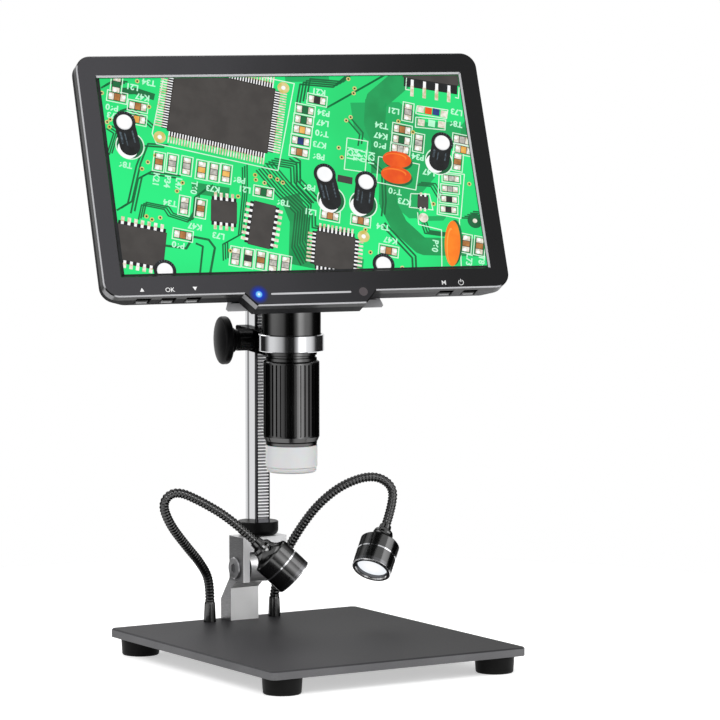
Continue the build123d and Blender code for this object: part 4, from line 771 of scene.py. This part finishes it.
# Each colour with a second one that it wanders to, and how many patches of it there are to a metre.
SHOWN_LOOKS = {
    "path": ((0.003, 0.16, 0.045), (0.003, 0.12, 0.034), 60),
    "copper": ((0.008, 0.36, 0.095), (0.005, 0.29, 0.075), 60),
    "print": ((0.55, 1.0, 0.72), (0.46, 0.94, 0.62), 200),
    "frame": ((0.76, 0.96, 0.80), (0.64, 0.90, 0.70), 200),
    "pin": ((0.62, 0.50, 0.28), (0.94, 0.92, 0.86), 420),
    "solder": ((0.92, 0.90, 0.80), (0.60, 0.54, 0.40), 420),
    "chip": ((0.062, 0.056, 0.052), (0.048, 0.043, 0.040), 90),
    "dark": ((0.02, 0.018, 0.016), (0.04, 0.035, 0.03), 300),
    "tan": ((0.34, 0.13, 0.03), (0.50, 0.22, 0.06), 300),
    "amber": ((0.90, 0.52, 0.13), (0.76, 0.36, 0.05), 300),
    "pale": ((0.34, 0.33, 0.30), (0.62, 0.60, 0.54), 500),
    "blue": ((0.01, 0.03, 0.15), (0.02, 0.05, 0.25), 300),
    "can": ((0.003, 0.004, 0.004), (0.010, 0.012, 0.014), 200),
    "shine": ((0.10, 0.14, 0.17), (0.01, 0.015, 0.02), 700),
    "top": ((0.62, 0.63, 0.65), (0.80, 0.81, 0.82), 300),
    "white": ((1, 1, 1), (0.94, 0.95, 0.96), 200),
    "shadow": ((0.003, 0.15, 0.045), (0.003, 0.10, 0.03), 120),
    "orange": ((0.90, 0.115, 0.004), (0.78, 0.07, 0.003), 120),
    "orange_light": ((1.0, 0.24, 0.02), (0.95, 0.17, 0.01), 200),
    "yellow": ((1.0, 0.26, 0.010), (0.95, 0.19, 0.006), 120),
    "yellow_light": ((1.0, 0.40, 0.06), (1.0, 0.32, 0.03), 200),
    "gold": ((0.62, 0.50, 0.10), (0.74, 0.66, 0.30), 300),
    "hole": ((0.02, 0.05, 0.01), (0.01, 0.03, 0.01), 300),
}
SCREEN_COLOURS = {name: shown_finish("shown_" + name, *look) for name, look in SHOWN_LOOKS.items()}


def shown_chip(width, height, pins, all_round, long):
    """A black chip with rows of bright pins over a dark gap, on two or four sides."""
    chip = Drawing("chip_pattern", SCREEN_COLOURS)
    pitch = width / (pins + 0.5)
    for quarter in range(0, 4, 1 if all_round else 2):
        turn = quarter * pi / 2
        reach, run = (width, height) if quarter % 2 else (height, width)
        count = max(1, int(run / pitch - 0.4))

        def at(along, out):
            return along * cos(turn) - out * sin(turn), along * sin(turn) + out * cos(turn)

        chip.patch(*at(0, reach / 2 + long * 0.25), run * 0.97, long * 0.5, turn, 2, "can")
        foot, knee = min(2.1, pitch * 0.52), min(1.8, pitch * 0.42)
        for pin in range(count):
            along = (pin - (count - 1) / 2) * pitch
            chip.patch(*at(along, reach / 2 + long * 0.7), foot, long * 0.6, turn, 3, "pin")
            chip.patch(*at(along, reach / 2 + long * 0.24), knee, long * 0.34, turn, 4, "white")
    chip.patch(0, 0, width * 1.02, height * 1.03, 0, 5, "dark")
    chip.patch(0, 0, width, height, 0, 6, "chip")
    return chip.closed()


def shown_small_part(length, width, body):
    """A two-ended surface part in its white printed frame."""
    part = Drawing("part_pattern", SCREEN_COLOURS)
    part.outline(length, width, 0.55, 2, "frame")
    part.patch(0, 0, length * 0.86, width * 0.76, 0, 3, "dark")
    for end in (-1, 1):
        part.patch(end * length * 0.29, 0, length * 0.25, width * 0.64, 0, 4, "solder")
        part.spot(end * length * 0.33, width * 0.08, width * 0.17, 5, "white", 8)
    part.patch(0, 0, length * 0.27, width * 0.62, 0, 5, body)
    return part.closed()


def shown_can(drop):
    """An upright capacitor seen from above its top: the sleeve leans away below it."""
    can = Drawing("can_pattern", SCREEN_COLOURS)
    can.spot(0, -drop, 8.6, 2, "frame", 28)
    can.spot(0, -drop, 7.9, 3, "shadow", 28)
    can.spot(-1.9, -drop - 1.9, 5.9, 3.5, "white", 24)
    can.patch(0, -drop / 2, 12.2, drop, 0, 4, "can")
    can.spot(0, -drop, 6.1, 5, "can", 24)
    for x, width in ((-3.8, 1.2), (-1.3, 0.7), (3.4, 0.9)):
        can.patch(x, -drop * 0.6, width, drop * 0.85 - abs(x), 0, 6, "shine")
    can.spot(0, 0, 6.7, 7, "can", 28)
    for number in range(9):
        turn = number * 0.26
        can.patch(6.0 * cos(turn), 6.0 * sin(turn), 1.1, 0.35, turn, 7.5, "shine")
    can.spot(0, 0, 4.7, 8, "top", 28)
    can.spot(0.1, 0.2, 4.3, 9, "white", 24)
    return can.closed()


def shown_bead(long, wide, colour):
    """A dipped ceramic capacitor: a glossy oval."""
    bead = Drawing("bead_pattern", SCREEN_COLOURS)
    bead.spot(0.8, -1.8, long, 4, "shadow", 32, 0, wide / long)
    bead.spot(0, -0.5, long, 5, colour, 32, 0, wide / long)
    bead.spot(-long * 0.1, wide * 0.16, long * 0.78, 6, colour + "_light", 28, 0, wide / long * 0.62)
    bead.spot(-long * 0.14, wide * 0.02, long * 0.74, 7, colour, 28, 0, wide / long * 0.66)
    return bead.closed()


def shown_hole():
    """A plated hole."""
    hole = Drawing("hole_pattern", SCREEN_COLOURS)
    hole.spot(0, 0, 1.3, 3, "gold", 14)
    hole.spot(0, 0, 0.6, 4, "hole", 10)
    return hole.closed()


FONT_SIZE = 1.4 * MM    # for capitals a millimetre high


def written(text, height, bold):
    """Plain letters as a mesh about the origin."""
    bpy.ops.object.select_all(action="DESELECT")
    bpy.ops.object.text_add()
    label = bpy.context.object
    label.data.body = text
    label.data.size = height * FONT_SIZE
    label.data.offset = bold * MM
    label.data.align_x = "CENTER"
    label.data.align_y = "CENTER"
    bpy.ops.object.convert(target="MESH")
    bpy.context.object.data.materials.clear()
    return bpy.context.object


BOARD_TURN = radians(-13)
UPRIGHT = BOARD_TURN + pi / 2
# What lies on the shown board, in the drawings' millimetres. Paths: corners, how many side by side, the
# gap between them and their width. Bands: corners, width and colour.
PATHS = (
    (((-108, 128), (-103, 131), (-95, 130)), 3, 1.6, 0.9),
    (((-110, 86), (-104, 100), (-108, 103)), 3, 1.7, 0.7),
    (((-96, 126), (-88, 126), (-77, 122)), 1, 2, 4.0),
    (((-98, 107), (-100, 113), (-93, 115), (-81, 103)), 2, 1.8, 0.8),
    (((-108, 53), (-101, 57), (-93, 80), (-87, 92), (-75, 91)), 2, 2.6, 0.9),
    (((-100, 51), (-93, 72), (-87, 75), (-70, 72)), 2, 2.4, 0.9),
    (((-96, 47), (-93, 56), (-80, 53), (-78, 49), (-67, 45), (-63, 51), (-61, 60), (-52, 66)), 3, 1.5, 0.7),
    (((-82, 31), (-70, 29), (-65, 36), (-56, 34), (-53, 29), (-58, 13)), 1, 2, 1.2),
    (((-64, 32), (-60, 30), (-64, 13)), 1, 2, 1.0),
    (((-30, 78), (-32, 62), (-38, 36), (-48, 31), (-49, 21)), 3, 1.5, 0.7),
    (((-22, 76), (-12, 61), (-2, 49), (-7, 28), (-3, 17)), 7, 1.7, 0.8),
    (((-16, 80), (-1, 77), (-2, 67), (8, 54)), 4, 2.0, 0.8),
    (((8, 116), (12, 129), (32, 127), (45, 137)), 4, 2.2, 0.9),
    (((26, 114), (66, 135)), 3, 2.4, 0.9),
    (((38, 106), (44, 97), (42, 90)), 2, 2.2, 0.8),
    (((46, 81), (54, 72), (52, 54), (50, 46)), 2, 2.0, 0.9),
    (((74, 65), (83, 64), (87, 55)), 3, 1.6, 0.7),
    (((74, 41), (75, 35), (87, 33)), 3, 1.5, 0.8),
    (((49, 41), (65, 20), (64, 10)), 2, 2.2, 1.0),
    (((99, 44), (112, 43)), 5, 1.9, 0.7),
    (((-1, 83), (3, 80), (1, 66), (9, 55)), 2, 2.4, 0.9),
    (((8, 48), (7, 40), (28, 36)), 2, 2.0, 0.9))
BANDS = (
    (((78, 134), (57, 118), (54, 103), (57, 93), (54, 72)), 13, "copper"),
    (((57, 66), (55, 54), (60, 40), (72, 27), (113, 25)), 11, "copper"),
    (((-4, 60), (0, 44), (-4, 20)), 12, "copper"),
    (((112, 100), (108, 84)), 9, "copper"),
    (((-8, 24), (34, 14)), 12, "copper"),
    (((-62, 66), (-40, 62)), 7, "copper"))
PRINTED_LINES = (
    ((-69, 137), (-81.2, 99.5), (-79.4, 93.3), (-8.9, 75.4), (8.5, 129.5), (-14, 134.6)),
    ((53.6, 83.2), (78, 77.9), (73.4, 61.9), (50, 67.2), (53.6, 83.2)),
    ((36, 95.1), (48.4, 92.7), (43.9, 73.6), (31.5, 75.6), (36, 95.1)),
    ((89.6, 73.2), (104.9, 71.1), (98.4, 43.6), (84.3, 46.6), (89.6, 73.2)),
    ((70, 59.7), (81.3, 59.1), (82.1, 49.3), (67.8, 51.3), (70, 59.7)),
    ((72.4, 48), (72, 40.5), (85.5, 36.8), (82, 12)),
    ((97.6, 44), (94, 12)),
    ((82.1, 114.7), (100.8, 111.7), (99.1, 106.3), (80.5, 109.7), (82.1, 114.7)),
    ((80.2, 107.5), (98.5, 105.4), (97.1, 99.1), (79, 101.2), (80.2, 107.5)),
    ((78.5, 134), (76.5, 125), (79, 124.6)),
    ((110, 126), (108.5, 119), (106.5, 119.6)))
HOLES = (
    (-81, 116), (-81, 86), (-86, 82), (-90, 78), (-107, 107), (-105, 108.5), (-106, 104), (-67, 69),
    (-71, 64), (-91, 49), (-88, 47), (-83, 48), (-35, 60), (-18, 68), (-7, 68), (-23, 73), (-23, 70),
    (-14, 72), (-10, 70), (-44, 27), (-108, 125), (-86, 132), (40, 108), (37, 106), (30, 89), (31, 83),
    (44, 123), (45, 126), (42, 132), (39, 38), (40, 24), (83, 53), (69, 105), (77, 98), (107, 65), (58, 14))
TARGETS = ((-77, 97.3), (1.5, 126.9), (37.3, 33.9))
# Place and radius of bare round solder, and place and colour of the square ends of two wired parts.
SOLDER_SPOTS = ((75.6, 44.6, 2.9), (107, 42, 1.4))
WIRED_PARTS = (
    (84, 112.4, "solder"), (98, 109.2, "solder"), (88.6, 111.3, "orange"), (93.2, 110.5, "blue"),
    (83, 104, "solder"), (95.4, 102.6, "solder"), (89.4, 103.4, "print"))
# Place and turn, then width, height, pins along the width, pins on all four sides, and the pins' length.
CHIPS = (
    (-37.9, 113.8, radians(-14.5), 59.4, 40.5, 36, True, 7.8),
    (-97, 31.5, BOARD_TURN, 29, 21, 7, False, 5.0),
    (-44.7, 50.9, radians(-8), 15.2, 12.8, 4, False, 5.0),
    (-23.1, 42.3, radians(74), 27, 12.9, 7, False, 4.6),
    (18.5, 25.2, radians(-12), 23, 21, 9, True, 5.2),
    (94, 136.6, radians(-10), 34, 13.5, 4, False, 11.5),
    (76.7, 54.4, radians(-10), 6.6, 6.6, 2, False, 2.4))
# Place and turn, then how far the foot lies below the top.
CANS = (
    (-96.9, 106.8, 0.11, 14.6), (19.1, 72.7, 0.106, 16.1), (43.6, 67.5, -0.26, 14.3),
    (94.1, 91.1, -0.31, 12.2), (-84.3, 15.9, 0.2, 14), (46.9, 16.5, 0.1, 14))
# Place and turn, then half length, half width and colour.
BEADS = (
    (64.7, 81.6, radians(-7), 8.7, 5.2, "orange"), (62.8, 71.9, radians(-9), 9.2, 5.4, "orange"),
    (90.5, 28.4, radians(80), 14.2, 4.8, "yellow"))
SMALL_PART_SIZE = (12.0, 6.7)
# Places by the colour of the body, with 1 for a part that stands upright.
SMALL_PARTS = {
    "path": ((-98.6, 130.2, 1), (-19.4, 62.4, 0), (12.8, 112.9, 0), (11, 106.6, 0), (69.2, 93.3, 0)),
    "tan": ((-99.2, 122.3, 0), (-87.6, 116.4, 0), (-79.4, 82.1, 1), (-58.3, 53.1, 1), (-71, 37.2, 0),
            (-26.7, 20.9, 1), (5.6, 86.7, 0), (70.6, 99.8, 0), (101.8, 79, 1), (18.7, 47.1, 0),
            (36.9, 43.6, 0), (51.2, 24.7, 0), (99.4, 28, 1), (107.4, 26.3, 1)),
    "amber": ((-89.4, 108.5, 0), (-54.7, 76.7, 1), (-40.4, 74, 1), (9.3, 100.4, 0), (106.7, 86.4, 0)),
    "pale": ((-71.7, 80.9, 1), (-63.3, 79.2, 1), (-47.5, 75.2, 1), (-67.8, 55, 1), (-41.4, 23.5, 1),
             (-19.6, 19, 1), (-12.4, 17.4, 1), (75.8, 110.7, 1), (67.6, 87.6, 0), (79.5, 91.3, 1),
             (106.8, 92.7, 0)),
    "dark": ((-34.1, 22.2, 1), (21, 119, 0)),
    "blue": ((7.4, 93.6, 0),),
}
STACK_PART_SIZE = (11.4, 5.3)
STACK_TURN = radians(-8)
STACK = ((96.4, 68.6, "pale"), (94.6, 62.1, "pale"), (93.1, 55.7, "dark"), (91.7, 49.3, "dark"))
# Places of the printed part numbers, with 1 for one that stands upright.
LABELS = (
    (-89.4, 128.6, 0), (-79.2, 131.2, 0), (-84, 122.2, 0), (-103, 116, 0), (-103, 111, 0),
    (-99.5, 80.8, 0), (-82.6, 71.4, 1), (-76.1, 70, 1), (-69.6, 68.4, 1), (-60.7, 66, 1),
    (-49.4, 65.1, 0), (-33, 70.3, 0), (-30.5, 64.4, 0), (-76, 56.9, 0), (-63, 42.3, 0), (-74.4, 31.3, 0),
    (-49.9, 36.4, 0), (-8.4, 55.8, 0), (22.8, 124.3, 0), (23.9, 111, 0), (22.5, 104.7, 0), (21, 98.2, 0),
    (18.6, 91.2, 0), (17, 84, 0), (67, 111.8, 0), (58.3, 102.6, 0), (57, 96.2, 0), (55.6, 90.4, 0),
    (106, 110.4, 0), (104.4, 103, 0), (48.8, 82, 1), (77.8, 82.6, 0), (83.2, 72.8, 0), (60.6, 61.4, 0),
    (65.4, 55, 0), (8.6, 64.9, 0), (7.2, 49.8, 0), (50, 39.6, 0), (53.4, 31.2, 0), (80, 27.1, 1),
    (99.6, 18, 1), (107, 16.6, 1), (36.2, 85.2, 1), (39, 84.7, 1), (41.6, 84.2, 1), (44.2, 83.8, 1))
LABEL_LETTERS = "LTKP"
# Height of the letters, and how much their strokes are thickened.
LABEL_STYLE = (3.6, 0.17)
MARK_STYLE = (2.7, 0.02)
PICTURE_DEPTH = 2.17 * MM
PRINT_PROUD = 0.02 * MM


def printed_labels():
    """Short part numbers printed on the shown board, upside down as the board lies."""
    labels = []
    for number, (x, y, upright) in enumerate(LABELS):
        text = LABEL_LETTERS[number % len(LABEL_LETTERS)] + str(21 + number * 13 % 78)
        label = written(text, *LABEL_STYLE)
        turn = (UPRIGHT if upright else BOARD_TURN) + pi
        label.data.transform(moved(x, y, turn) @ Matrix.Translation((0, 0, PRINT_PROUD)))
        label.data.materials.append(SCREEN_COLOURS["print"].material)
        labels.append(label)
    return labels


def screen_picture():
    """What the screen shows: a magnified circuit board."""
    board = Drawing("screen_picture", SCREEN_COLOURS)
    for points, width, colour in BANDS:
        board.line(points, width, 0.5, colour)
    for points, count, gap, width in PATHS:
        for path in range(count):
            board.line([(x + path * gap, y + path * gap * 0.5) for x, y in points], width + 0.2, 1, "path")
    for points in PRINTED_LINES:
        board.line(points, 0.6, 2, "frame")
    for x, y in TARGETS:
        board.spot(x, y, 3.6, 3, "gold", 20)
        board.spot(x, y, 1.3, 4, "white", 12)
    # A dark ring about the second solder spot, and a small chip lying bare.
    board.spot(107, 42, 4.6, 3, "shadow", 20)
    for x, y, radius in SOLDER_SPOTS:
        board.spot(x, y, radius, 4, "solder", 20)
    board.patch(31, 69.2, 9, 4.4, BOARD_TURN, 4, "chip")
    for x, y, colour in WIRED_PARTS:
        board.patch(x, y, 4.2, 4.2, BOARD_TURN, 4, colour)
    # The frame's shadow, along the left side and the lower side.
    low_x, _, low_y, _ = WINDOW
    board.patch(low_x + 0.9, 73, 1.8, 130, 0, 12, "can")
    board.patch(0, low_y + 0.7, 230, 1.4, 0, 12, "can")
    copies = [board.closed()] + printed_labels()
    patterns = []
    for x, y, turn, *sizes in CHIPS:
        patterns.append(shown_chip(*sizes))
        copies.append(stamped(patterns[-1], moved(x, y, turn)))
    for body, places in SMALL_PARTS.items():
        patterns.append(shown_small_part(*SMALL_PART_SIZE, body))
        for x, y, upright in places:
            copies.append(stamped(patterns[-1], moved(x, y, UPRIGHT if upright else BOARD_TURN)))
    for x, y, body in STACK:
        patterns.append(shown_small_part(*STACK_PART_SIZE, body))
        copies.append(stamped(patterns[-1], moved(x, y, STACK_TURN)))
    for x, y, turn, drop in CANS:
        patterns.append(shown_can(drop))
        copies.append(stamped(patterns[-1], moved(x, y, turn)))
    for x, y, turn, *sizes in BEADS:
        patterns.append(shown_bead(*sizes))
        copies.append(stamped(patterns[-1], moved(x, y, turn)))
    patterns.append(shown_hole())
    copies += [stamped(patterns[-1], moved(x, y)) for x, y in HOLES]
    for pattern in patterns:
        bpy.data.objects.remove(pattern)
    bpy.ops.object.select_all(action="DESELECT")
    for copy in copies:
        copy.select_set(True)
    bpy.context.view_layer.objects.active = copies[0]
    bpy.ops.object.join()
    bpy.ops.object.mode_set(mode="EDIT")
    board.trimmed(*WINDOW)
    hung(board.closed(), DRAWN_ON_FACE @ Matrix.Translation((0, 0, -PICTURE_DEPTH)))


# Places and sizes of the signs over the keys, in the drawings' millimetres.
MARK_R = 1.5
MARK_LINE = 0.42
UP_MARK = (-99.9, 3.6)
DOWN_MARK = (-68.7, 4.2)
POWER_MARK = (91.7, 3.4)
POWER_RING_STEPS = 24
POWER_RING_OPENING = 72     # degrees, at the top
LETTER_MARKS = (("key_mark_ok", "OK", -83.5), ("key_mark_menu", "M", 81.2))
LETTERS_UP = 3.4


def key_marks():
    """Printed signs over the keys: arrows, a confirm mark, a menu mark and a power sign."""
    white = grained("printed_white", grey(0.78), 0.5, 900, 2 * MICRON)
    marks = Drawing("key_marks", {"white": white})
    marks.spot(*UP_MARK, MARK_R, 0, "white", 3)
    marks.spot(*DOWN_MARK, MARK_R, 0, "white", 3, pi)
    x, up = POWER_MARK
    for number in range(POWER_RING_STEPS):
        share = number / (POWER_RING_STEPS - 1)
        turn = radians(90 + POWER_RING_OPENING / 2 + (360 - POWER_RING_OPENING) * share)
        marks.patch(x + MARK_R * cos(turn), up + MARK_R * sin(turn), MARK_LINE, 0.45, turn, 0, "white")
    marks.patch(x, up + 1.2, MARK_LINE, 1.9, 0, 0, "white")
    place = DRAWN_ON_FACE @ Matrix.Translation((0, 0, PRINT_PROUD))
    hung(marks.closed(), place)
    for name, text, x in LETTER_MARKS:
        label = written(text, *MARK_STYLE)
        label.name = name
        label.data.materials.append(white.material)
        hung(label, place @ moved(x, LETTERS_UP))


screen_picture()
key_marks()


# ---- studio ----
# What a mirror sees round the room, from behind the object by its left side, front and right to behind
# it again: the white backdrop, a dark gap, a soft box, a dark gap ahead, a brighter soft box, a gap and
# the backdrop. Each stop has its share of the way round and its brightness.
SOFT_BOXES = (
    (0.0, 1.0), (0.11, 1.0), (0.135, 0.02), (0.205, 0.02), (0.24, 0.35), (0.275, 1.0), (0.32, 1.0),
    (0.36, 0.8), (0.41, 0.5), (0.445, 0.05), (0.48, 0.01), (0.525, 0.02), (0.56, 0.7), (0.59, 2.6),
    (0.62, 2.2), (0.655, 1.2), (0.70, 1.0), (0.73, 0.6), (0.76, 0.06), (0.79, 0.02), (0.89, 0.02),
    (0.92, 1.0), (1.0, 1.0))
CAMERA_SIDE = radians(-121.0)       # the way from the object to the camera, about Z
FLOOR_Z = -15.05 * MM
FLOOR_R = 0.45
CAMERA_PLACE = (-1.3299, -2.2121, 0.4013)
CAMERA_AIM = (0.02215, -0.01362, 0.1623)
CAMERA_LENS = 223.65


def seen_by_ray(nodes):
    """Whether the camera, a mirror or glass sees a surface, as three sockets."""
    ray = nodes.raw("ShaderNodeLightPath", {}, {})
    names = ("Is Camera Ray", "Is Glossy Ray", "Is Transmission Ray")
    return (Socket(nodes, ray.outputs[name]) for name in names)


def studio_world():
    """A pale room: plain light for matt surfaces, soft boxes and dark gaps for what mirrors it."""
    world = bpy.data.worlds.new("studio")
    bpy.context.scene.world = world
    world.use_nodes = True
    room = Nodes(world.node_tree)
    background = room.tree.nodes["Background"]
    camera, glossy, through = seen_by_ray(room)
    x, y, up = room.node("ShaderNodeTexCoord", {}, {}, "Generated").parts()
    ahead = x * cos(CAMERA_SIDE) + y * sin(CAMERA_SIDE)
    right = y * cos(CAMERA_SIDE) - x * sin(CAMERA_SIDE)
    turn = right.maths("ARCTAN2", ahead) / (2 * pi) + 0.5
    stops = [(place, grey(level)) for place, level in SOFT_BOXES]
    bands = room.node("ShaderNodeValToRGB", {"stops": stops}, {0: turn})
    mirrored = room.mix(up.smooth_from(0.35, 0.75), bands, grey(0.9))
    colour = room.mix(glossy, grey(0.62), mirrored)
    colour = room.mix((camera + through).limited(), colour, (1, 1, 1))
    room.tree.links.new(colour.output, background.inputs["Color"])


def studio_floor():
    """A white floor that keeps the object's shadow."""
    bpy.ops.mesh.primitive_circle_add(vertices=96, radius=FLOOR_R, fill_type="NGON", location=(0, 0, FLOOR_Z))
    floor = bpy.context.object
    floor.name = "floor"
    paper = Finish("floor_paper", Base_Color=grey(0.86), Roughness=0.9, Specular_IOR_Level=0.1,
                   Emission_Strength=1.0)
    camera, glossy, through = seen_by_ray(paper)
    seen = (camera + glossy + through).limited()
    paper.feed("Emission Color", paper.mix(seen, (0, 0, 0), grey(0.5)))
    floor.data.materials.append(paper.material)


def studio_lamp(name, place, aim, size, power):
    light = bpy.data.lights.new(name, "AREA")
    light.shape = "RECTANGLE"
    light.size, light.size_y = size
    light.energy = power
    lamp = bpy.data.objects.new(name, light)
    bpy.context.collection.objects.link(lamp)
    lamp.location = place
    lamp.rotation_euler = (Vector(aim) - Vector(place)).to_track_quat("-Z", "Y").to_euler()


def studio_camera():
    data = bpy.data.cameras.new("camera")
    data.lens = CAMERA_LENS
    data.sensor_width = 36
    data.clip_end = 200
    camera = bpy.data.objects.new("camera", data)
    bpy.context.collection.objects.link(camera)
    camera.location = CAMERA_PLACE
    camera.rotation_euler = (Vector(CAMERA_AIM) - camera.location).to_track_quat("-Z", "Y").to_euler()
    bpy.context.scene.camera = camera


studio_world()
studio_floor()
studio_lamp("key", (-1.5, -1.6, 2.0), (0, 0, 0.15), (1.4, 1.4), 34)
studio_lamp("fill", (2.0, -1.6, 1.2), (0, 0, 0.15), (1.6, 1.6), 16)
studio_lamp("back", (0.4, 2.2, 1.8), (0, 0, 0.2), (2.0, 1.2), 20)
studio_camera()
bpy.context.scene.view_settings.view_transform = "Standard"
